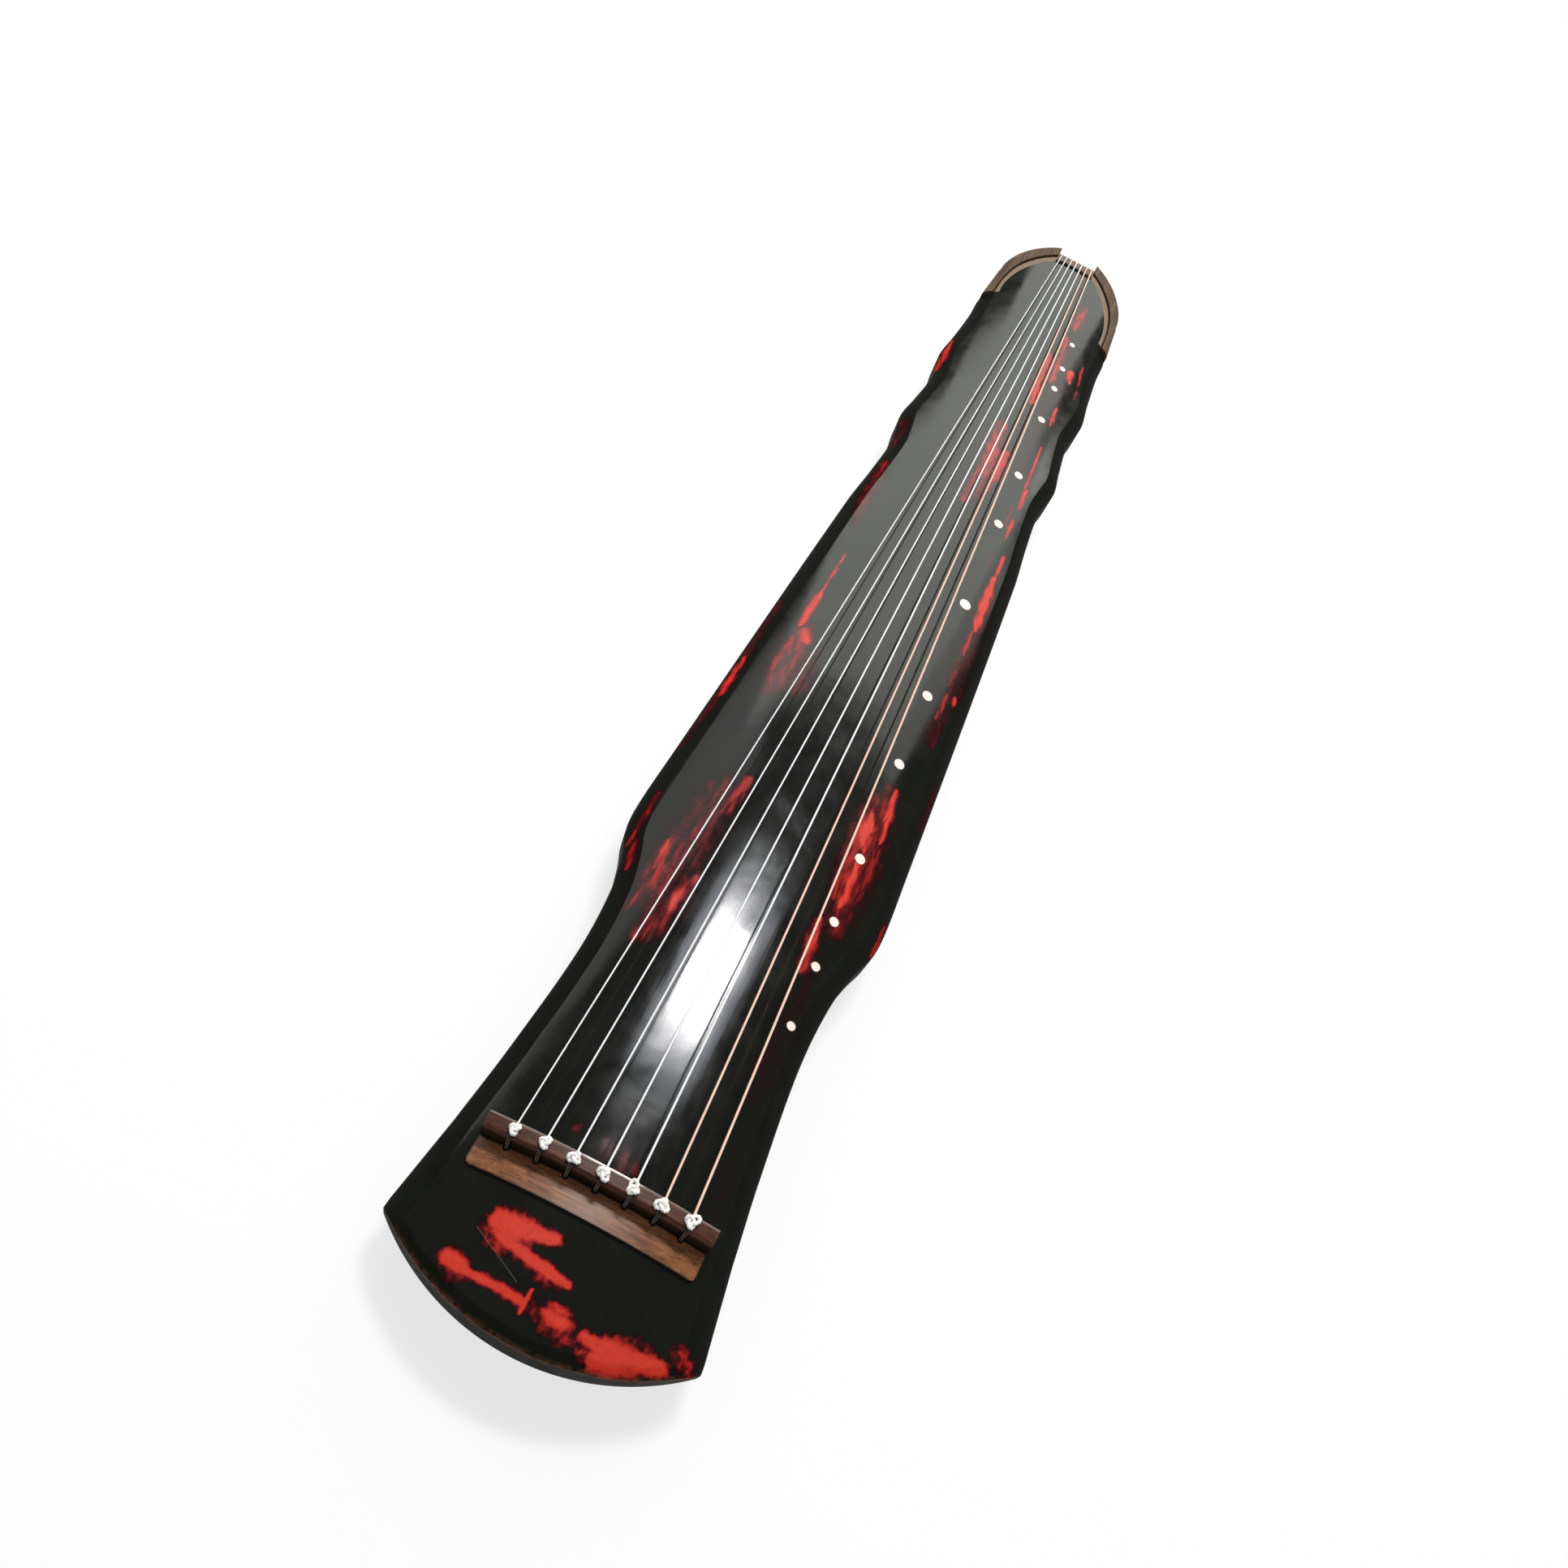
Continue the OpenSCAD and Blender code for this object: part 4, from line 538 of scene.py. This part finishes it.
def trim_points(side):
    """A trim: rows from its start to the nut, each a profile laid between the inner arc and the rim, where
    the rim is first the outline and then the tail's arc, and heights stand on the board's arch."""
    q = np.linspace(0, 1, 97)
    turn = np.radians(94) + (math.asin((21.5 - TRIM_ARC_V) / TRIM_ARC_R) - np.radians(94)) * q
    inner = np.stack([TRIM_ARC_U + TRIM_ARC_R * np.cos(turn), TRIM_ARC_V + TRIM_ARC_R * np.sin(turn)], axis=-1)
    s = TRIM_FROM + (TAIL_END - TRIM_FROM) * np.minimum(q / 0.4, 1)
    w = half_width(s)
    reach = TAIL_ARC_U + np.sqrt(np.maximum(0, TAIL_ARC_R**2 - (w - TAIL_ARC_V) ** 2))
    s = np.where(s > 1039.5, 1039.5 + (reach - 1039.5) * (s - 1039.5) / (TAIL_END - 1039.5), s)
    first = math.atan2(69.5 - TAIL_ARC_V, math.sqrt(TAIL_ARC_R**2 - (69.5 - TAIL_ARC_V) ** 2))
    last = math.asin((21.5 - TAIL_ARC_V) / TAIL_ARC_R)
    bend = first + (last - first) * (q - 0.4) / 0.6
    outer = np.where((q < 0.4)[:, None], np.stack([s, w], axis=-1), np.stack(
        [TAIL_ARC_U + TAIL_ARC_R * np.cos(bend), TAIL_ARC_V + TAIL_ARC_R * np.sin(bend)], axis=-1))
    share, rise = TRIM_PROFILE.T
    laid = inner[:, None, :] + (outer - inner)[:, None, :] * share[None, :, None]
    u, v = laid[..., 0], laid[..., 1]
    z = np.maximum(arch(u, v) + rise, 44)
    ends = np.stack([u[[0, -1]], v[[0, -1]], np.full_like(u[[0, -1]], 44)], axis=-1)
    rows = np.concatenate([ends[:1], np.stack([u, v, z], axis=-1), ends[1:]])
    return in_row_frame(rows[..., 0], side * rows[..., 1], rows[..., 2])


def bead_highlight_and_groove_shade(tree, mm, colour):
    """The inner bead is painted pale as a painted highlight on its bevel, and the groove beside it is painted
    dark as a painted shadow of the step; share is 0 at the trim's inner arc and 1 at its outside."""
    share = add(tree, "ShaderNodeAttribute", attribute_name="share").outputs["Fac"]
    # Painted highlight on the inner bead.
    bead = add(tree, "ShaderNodeMapRange", {"Value": share, "From Min": 0.27, "From Max": 0.31, "To Min": 0.75, "To Max": 0.0})
    bead_lit_colour = add(tree, "ShaderNodeMix", {0: bead.outputs[0], 6: colour, 7: paint("#8c7762")}, data_type="RGBA")
    # Painted shadow in the groove beside the bead.
    off_groove = add(tree, "ShaderNodeMath", {0: add(tree, "ShaderNodeMath", {0: share, 1: 0.35},
                     operation="SUBTRACT").outputs[0]}, operation="ABSOLUTE")
    groove = add(tree, "ShaderNodeMapRange", {"Value": off_groove.outputs[0], "From Min": 0.02, "From Max": 0.06,
                                              "To Min": 0.9, "To Max": 0.0})
    return add(tree, "ShaderNodeMix", {0: groove.outputs[0], 6: bead_lit_colour.outputs[2], 7: paint("#1d130c")},
               data_type="RGBA").outputs[2]


trim_wood = rosewood("waxed_grey_rosewood", "#2f2319", "#594636", "#766350", 0, 0.4, level=0.12, shade=bead_highlight_and_groove_shade)
for side, which in ((1, "stud_side"), (-1, "player_side")):
    strip = grid_mesh("trim", trim_points(side), flip=side > 0)
    strip.attributes.new("share", "FLOAT", "POINT").data.foreach_set("value", np.tile(
        TRIM_PROFILE[:, 0], len(strip.vertices) // len(TRIM_PROFILE)))
    strip = joined(f"tail_trim_{which}_band", [strip], merge=0.00002, sharp=50)
    piece(f"tail_trim_{which}_band", strip, trim_wood, replaces=[f"tail_trim_{which}"])
nut_wood = rosewood("planed_grey_rosewood", "#473729", "#705c4a", "#877260", 90, 0.4, level=0.2)
for nut in ("tail_nut", "lower_tail_nut", "peg_bearing_plate"):
    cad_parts[nut].material_slots[0].material = nut_wood
stand_wood = rosewood("turned_and_waxed_rosewood", "#24130d", "#4a2c1e", "#6f4631", 0, 0.32, polish=0.2)
for stand in ("goose_foot_stud_side", "goose_foot_player_side", "peg_guard_stud_side", "peg_guard_player_side"):
    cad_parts[stand].material_slots[0].material = stand_wood

# The tuning pegs: dark rosewood, turned, with eight flats cut along the grip and a bore down the middle
# for the cord. They are the only moving pieces.
peg_wood = rosewood("turned_dark_rosewood", "#24120d", "#4a2a1c", "#70452f", 90, 0.3)
for k in range(1, 8):
    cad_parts[f"tuning_peg_{k}"].material_slots[0].material = peg_wood


# The seven strings: twisted silk, wound smooth and glossy. The first two are dyed a warm peach, the rest
# are silver white. Each runs from its knot over the tail nut, under the body and round a goose foot.
def rope(route, across, radius, plies=1, depth=0.0, pitch=1.0, sides=12, closed=False):
    """A cord along a route, in mm: rings about its points in the plane of across and its partner, whose
    radius swells and sinks with the plies as they turn once per pitch. Open ends close to a point."""
    heading = np.gradient(route, axis=0) if not closed else np.roll(route, -1, 0) - np.roll(route, 1, 0)
    heading /= np.linalg.norm(heading, axis=1, keepdims=True)
    across = across - (across * heading).sum(1, keepdims=True) * heading
    across /= np.linalg.norm(across, axis=1, keepdims=True)
    partner = np.cross(heading, across)
    step = np.linalg.norm(np.diff(route, axis=0), axis=1)
    length = np.concatenate([[0], np.cumsum(step)])
    if closed:
        whole = length[-1] + np.linalg.norm(route[0] - route[-1])
        pitch = whole / max(1, round(whole / pitch))
    turn = np.linspace(0, 2 * np.pi, sides, endpoint=False)
    swell = 1 + depth * np.cos(plies * (turn[None, :] - 2 * np.pi * length[:, None] / pitch))
    rings = route[:, None, :] + radius * swell[..., None] * (
        np.cos(turn)[None, :, None] * across[:, None, :] + np.sin(turn)[None, :, None] * partner[:, None, :])
    if not closed:
        rings = np.concatenate([np.repeat(route[None, :1], sides, 1), rings, np.repeat(route[None, -1:], sides, 1)])
    return rings, np.concatenate([[0], length, length[-1:]]) if not closed else length


def cord_mesh(name, rings, length, closed=False):
    """The mesh of a rope, with its length in mm and its turn round the cord kept as attributes."""
    mesh = grid_mesh(name, rings * MM, close_u=closed, close_v=True)
    sides = rings.shape[1]
    mesh.attributes.new("along", "FLOAT", "POINT").data.foreach_set("value", np.repeat(length, sides))
    mesh.attributes.new("round", "FLOAT", "POINT").data.foreach_set(
        "value", np.tile(np.abs(np.linspace(-1, 1, sides, endpoint=False)), rings.shape[0]))
    return mesh


def silk(name, pale, deep, thread, roughness):
    """Silk threads laid side by side round a cord: bright and dark bands that lean along its length, a painted
    highlight on each thread's crest and painted shade between the threads, with a random tone mixed in.
    """
    material, tree, mm, shader = fresh_material(name)
    along = add(tree, "ShaderNodeAttribute", attribute_name="along")
    round_it = add(tree, "ShaderNodeAttribute", attribute_name="round")
    lean = add(tree, "ShaderNodeMath", {0: along.outputs["Fac"], 1: 1 / thread, 2: round_it.outputs["Fac"]},
               operation="MULTIPLY_ADD")
    band = add(tree, "ShaderNodeMath", {0: add(tree, "ShaderNodeMath", {0: lean.outputs[0], 1: 2 * math.pi},
               operation="MULTIPLY").outputs[0]}, operation="SINE")
    ridge = add(tree, "ShaderNodeMapRange", {"Value": band.outputs[0], "From Min": -1.0, "From Max": 1.0})
    fluff = add(tree, "ShaderNodeTexNoise", {"Vector": mm, "Scale": 0.6, "Detail": 3.0})
    mixed = add(tree, "ShaderNodeMath", {0: ridge.outputs[0], 1: 0.55, 2: add(tree, "ShaderNodeMath", {
        0: fluff.outputs[0], 1: 0.45}, operation="MULTIPLY").outputs[0]}, operation="MULTIPLY_ADD")
    # The bright and dark bands are painted light and shade following the twist's ridges.
    shown = add(tree, "ShaderNodeMix", {0: mixed.outputs[0], 6: paint(deep), 7: paint(pale)}, data_type="RGBA")
    tree.links.new(shown.outputs[2], shader.inputs["Base Color"])
    shader.inputs["Roughness"].default_value = roughness
    shader.inputs["Sheen Weight"].default_value = 0.25
    relief = add(tree, "ShaderNodeBump", {"Height": ridge.outputs[0], "Strength": 0.35, "Distance": 0.0001})
    tree.links.new(relief.outputs[0], shader.inputs["Normal"])
    return material


TOUCH = 0.08
NUT_END = 1110.0
FOOT_U, FOOT_V, FOOT_NECK_R = 745.8, 48.0, 7.0
silver_silk = silk("silver_twisted_silk", "#ffffff", "#dddce0", 1.4, 0.32)
peach_silk = silk("peach_twisted_silk", "#ffdcc8", "#e0ab90", 1.6, 0.34)


def string_radius(k):
    """Half the thickness of string k, from 1.6 mm for the first down evenly to 1.0 mm for the seventh."""
    return (1.6 - 0.6 * (k - 1) / 6) / 2


def bridge_height(v):
    """Top of the bridge at v: an arc of 330 mm radius that crests at 88 mm."""
    return 88 - 330 + np.sqrt(330**2 - v**2)


def string_route(k):
    """A string's middle line: straight from bridge to nut, a quarter turn down round the nut, a quarter
    turn in under the lower nut, straight to the goose foot, and 1.8 falling turns round its neck."""
    r, v, w, side = string_radius(k), (4 - k) * 18.4, (4 - k) * 6.1, 1 if k <= 4 else -1
    first = 1 if k <= 4 else 5
    top = 22 - 0.6 - string_radius(first)
    for upper in range(first, k):
        top -= 2 * string_radius(upper) + 4 * TOUCH + string_radius(upper) + string_radius(upper + 1)
    at_nut = 68.5 - 242.5 + math.sqrt(242.5**2 - w**2) + r + TOUCH
    bend, bend_z = 9 + r + TOUCH, 68.5 - 9
    a = np.linspace(math.asin(min(1, (at_nut - bend_z) / bend)), 0, 13)
    b = -np.linspace(0, math.pi / 2, 11)
    low = 3.5 + r + TOUCH
    wind = FOOT_NECK_R + r + TOUCH
    du, dv = FOOT_U - 1092, side * FOOT_V - w
    lean = math.acos(wind / math.hypot(du, dv))
    t = np.linspace(0, 1.8, 58)
    c = math.atan2(side * dv, -du) + math.pi - lean - 2 * math.pi * t
    run = np.linspace(0, 1, 40)[:, None]
    start, stop = np.array([-2.5, v, bridge_height(v) + r + TOUCH]), np.array([1100, w, at_nut])
    under, meet = np.array([1092, w, 20 - r - TOUCH]), np.array(
        [FOOT_U - wind * math.cos(c[0]), side * (FOOT_V + wind * math.sin(c[0])), top])
    return np.concatenate([
        [[-4.0, v, bridge_height(v) + r + TOUCH]], start + run * (stop - start),
        np.stack([1101 + bend * np.cos(a), np.full_like(a, w), bend_z + bend * np.sin(a)], axis=-1),
        np.stack([NUT_END - 3.5 + low * np.cos(b), np.full_like(b, w), 23.5 + low * np.sin(b)], axis=-1),
        under + np.linspace(0, 0.96, 12)[:, None] * (meet - under),
        np.stack([FOOT_U - wind * np.cos(c), side * (FOOT_V + wind * np.sin(c)),
                  top - t * (2 * r + 2 * TOUCH)], axis=-1)]), len(t)


def turned_over(route):
    """The same route in the row frame's directions, still in mm."""
    return np.stack([MID_U - route[:, 0], route[:, 1], route[:, 2]], axis=-1)


for k in range(1, 8):
    route, winding = string_route(k)
    route = turned_over(route)
    across = np.tile([0.0, 1.0, 0.0], (len(route), 1))
    way = np.gradient(route, axis=0)[-winding:]
    flat = np.cross([0.0, 0.0, 1.0], way)
    across[-winding:] = flat * np.sign(flat[0, 1])
    rings, length = rope(route, across, string_radius(k))
    piece(f"string_{k}_silk", cord_mesh(f"string_{k}_silk", rings, length), peach_silk if k <= 2 else silver_silk,
          replaces=[f"string_{k}"])

# The knots that end the strings on the bridge: a thicker soft silk cord, three loops drawn up small,
# left undyed. Below each a brown tuning cord goes over the bridge's back edge and down into its peg.
knot_silk = silk("soft_undyed_silk_cord", "#ffffff", "#e6e0d6", 1.1, 0.6)
cord_silk = silk("brown_twisted_silk_cord", "#33201a", "#150b08", 1.2, 0.6)
chance = np.random.default_rng(7)
KNOT_R, KNOT_LIFT = 1.12, 0.9
for k in range(1, 8):
    v = (4 - k) * 18.4
    a = np.linspace(0, 2 * np.pi, 96, endpoint=False)
    tilt = chance.uniform(-0.9, 0.9)
    spread = 1.36 - 0.055 * k
    uneven = 1 + 0.2 * np.cos(a + chance.uniform(0, 6.3)) + 0.12 * np.cos(2 * a + chance.uniform(0, 6.3))
    su, sv = np.sin(a) + 2 * np.sin(2 * a), np.cos(a) - 2 * np.cos(2 * a)
    loop = np.stack([
        -5.25 + spread * uneven * (su * math.cos(tilt) - sv * math.sin(tilt)),
        v + spread * uneven * (su * math.sin(tilt) + sv * math.cos(tilt)),
        bridge_height(v) + TOUCH + KNOT_R + KNOT_LIFT * (1 - np.tanh(1.8 * np.sin(3 * a)))], axis=-1)
    loop = turned_over(loop)
    rings, length = rope(loop, np.tile([0.0, 0.0, 1.0], (96, 1)), KNOT_R, plies=2, depth=0.14, pitch=3.6, closed=True)
    piece(f"string_{k}_knot", cord_mesh(f"string_{k}_knot", rings, length, closed=True), knot_silk,
          replaces=[f"string_knot_{k}"])
    bend = 2.5 + 1 + 2 * TOUCH
    t = np.linspace(0, math.pi / 2, 14)
    z = bridge_height(v) + 1 + 2 * TOUCH
    drop = np.linspace(z - bend, 30, 60)[1:]
    hang = np.concatenate([
        [[-6.75, v, z]], np.stack([-11.9 + bend - bend * np.sin(t), np.full_like(t, v), z - bend + bend * np.cos(t)], axis=-1),
        np.stack([np.full_like(drop, -11.9), np.full_like(drop, v), drop], axis=-1)])
    hang = turned_over(hang)
    strands = []
    for side in (-1, 1):
        spread = 0.52 * side * np.interp(hang[:, 2], [60, 78], [1, 1.15])
        strand = hang + spread[:, None] * np.array([0.0, 1.0, 0.0])
        rings, length = rope(strand, np.tile([0.0, 1.0, 0.0], (len(hang), 1)), 0.46, plies=2, depth=0.12, pitch=2.4)
        strands.append(cord_mesh("strand", rings, length))
    piece(f"tuning_cord_{k}_silk", joined(f"tuning_cord_{k}_silk", strands), cord_silk,
          replaces=[f"peg_cord_{k}"])

# The studio: a plain pale floor, a soft overhead panel whose mirror image is the highlight on the board,
# a broad pale panel beyond the tail, and an even sky.
SEEN_WHITE = 0.72
floor_paint, tree, mm, shader = fresh_material("matt_white_studio_floor")
shader.inputs["Base Color"].default_value = paint("#f4f4f2")
shader.inputs["Roughness"].default_value = 1.0
shader.inputs["Specular IOR Level"].default_value = 0.0


def seen_directly(tree):
    """1 for a ray from the camera or one that glass or a gloss sends on, 0 for a ray of soft light."""
    ray = add(tree, "ShaderNodeLightPath")
    seen = add(tree, "ShaderNodeMath", {0: ray.outputs["Is Camera Ray"], 1: ray.outputs["Is Transmission Ray"]}, operation="MAXIMUM")
    return add(tree, "ShaderNodeMath", {0: seen.outputs[0], 1: ray.outputs["Is Glossy Ray"]}, operation="MAXIMUM").outputs[0]


lifted = add(tree, "ShaderNodeMixShader", {
    0: add(tree, "ShaderNodeMath", {0: seen_directly(tree), 1: SEEN_WHITE}, operation="MULTIPLY").outputs[0],
    1: shader.outputs[0], 2: add(tree, "ShaderNodeEmission", {"Color": paint("#ffffff"), "Strength": 1.0}).outputs[0]})
tree.links.new(lifted.outputs[0], tree.nodes["Material Output"].inputs["Surface"])
corners = np.array([[[-30, -30, -0.0006], [30, -30, -0.0006]], [[-30, 30, -0.0006], [30, 30, -0.0006]]], float)
floor = bpy.data.objects.new("floor", grid_mesh("floor", corners, flip=True))
bpy.context.scene.collection.objects.link(floor)
floor.data.materials.append(floor_paint)


def panel(name, at, towards, size, power, colour="#ffffff"):
    """A soft rectangular lamp at a place, facing another, with its sides in metres and its power in watts."""
    light = bpy.data.lights.new(name, "AREA")
    light.shape = "RECTANGLE"
    light.size, light.size_y = size
    light.energy = power
    light.color = paint(colour)[:3]
    lamp = bpy.data.objects.new(name, light)
    lamp.location = at
    aim = [b - a for a, b in zip(at, towards)]
    lamp.rotation_euler = [math.atan2(math.hypot(aim[0], aim[1]), -aim[2]), 0, math.atan2(-aim[0], aim[1])]
    bpy.context.scene.collection.objects.link(lamp)
    return lamp


panel("overhead_core", (-0.982, 0.055, 2.77), (0.364, 0.005, 0.07), (0.78, 0.3), 58)
panel("overhead_halo", (-0.982, 0.055, 2.77), (0.364, 0.005, 0.07), (1.3, 0.64), 13, "#eef3ff")
for name, x0, x1, y0, y1, power in (("tail_panel", -1.27, 2.03, -0.38, 0.97, 32.0), ("waist_panel", -1.6, -1.05, -0.5, -0.38, 0.9),
                                    ("low_tail_panel", -0.82, 1.2, -0.62, -0.38, 2.9), ("lowest_tail_panel", -0.74, 0.8, -1.15, -0.62, 4.6),
                                    ("belly_panel", -1.75, -1.27, -0.22, 0.97, 2.6)):
    x, y = (x0 + x1) / 2, (y0 + y1) / 2
    shift = (-0.0322 * x + 0.5694 * y, -0.9995 * x - 0.0183 * y, 0.8218 * y)
    panel(name, [a + b for a, b in zip((-3.1, 0.1, 2.25), shift)], [a + b for a, b in zip((0, 0, 0.1), shift)],
          (x1 - x0, y1 - y0), power, "#fcfff6")
panel("player_side_panel", (-0.752, -1.554, 1.716), (0.398, -0.224, 0.016), (1.85, 0.75), 4.0)

world = bpy.data.worlds.new("studio_sky")
bpy.context.scene.world = world
world.use_nodes = True
tree = world.node_tree
tree.nodes.clear()
up = add(tree, "ShaderNodeSeparateXYZ", {0: add(tree, "ShaderNodeTexCoord").outputs["Generated"]})
wall = add(tree, "ShaderNodeMapRange", {"Value": up.outputs[2], "From Min": 0.02, "From Max": 0.2, "To Min": 1.0, "To Max": 0.07})
even = add(tree, "ShaderNodeBackground", {"Color": paint("#ffffff"), "Strength": 0.36})
white = add(tree, "ShaderNodeBackground", {"Color": paint("#ffffff"), "Strength": wall.outputs[0]})
sky = add(tree, "ShaderNodeMixShader", {0: seen_directly(tree), 1: even.outputs[0], 2: white.outputs[0]})
add(tree, "ShaderNodeOutputWorld", {"Surface": sky.outputs[0]})
bpy.context.scene.view_settings.view_transform = "Standard"

# The camera stands over the head end and looks down along the strings, as the photograph was taken.
view = bpy.data.cameras.new("camera")
view.sensor_width = 36.0
view.lens = 27.802
view.clip_start = 0.01
camera = bpy.data.objects.new("camera", view)
camera.location = (0.71292, -0.0048, 0.76726)
camera.rotation_euler = [math.radians(a) for a in (32.5047, -15.2135, 113.4309)]
bpy.context.scene.collection.objects.link(camera)
bpy.context.scene.camera = camera
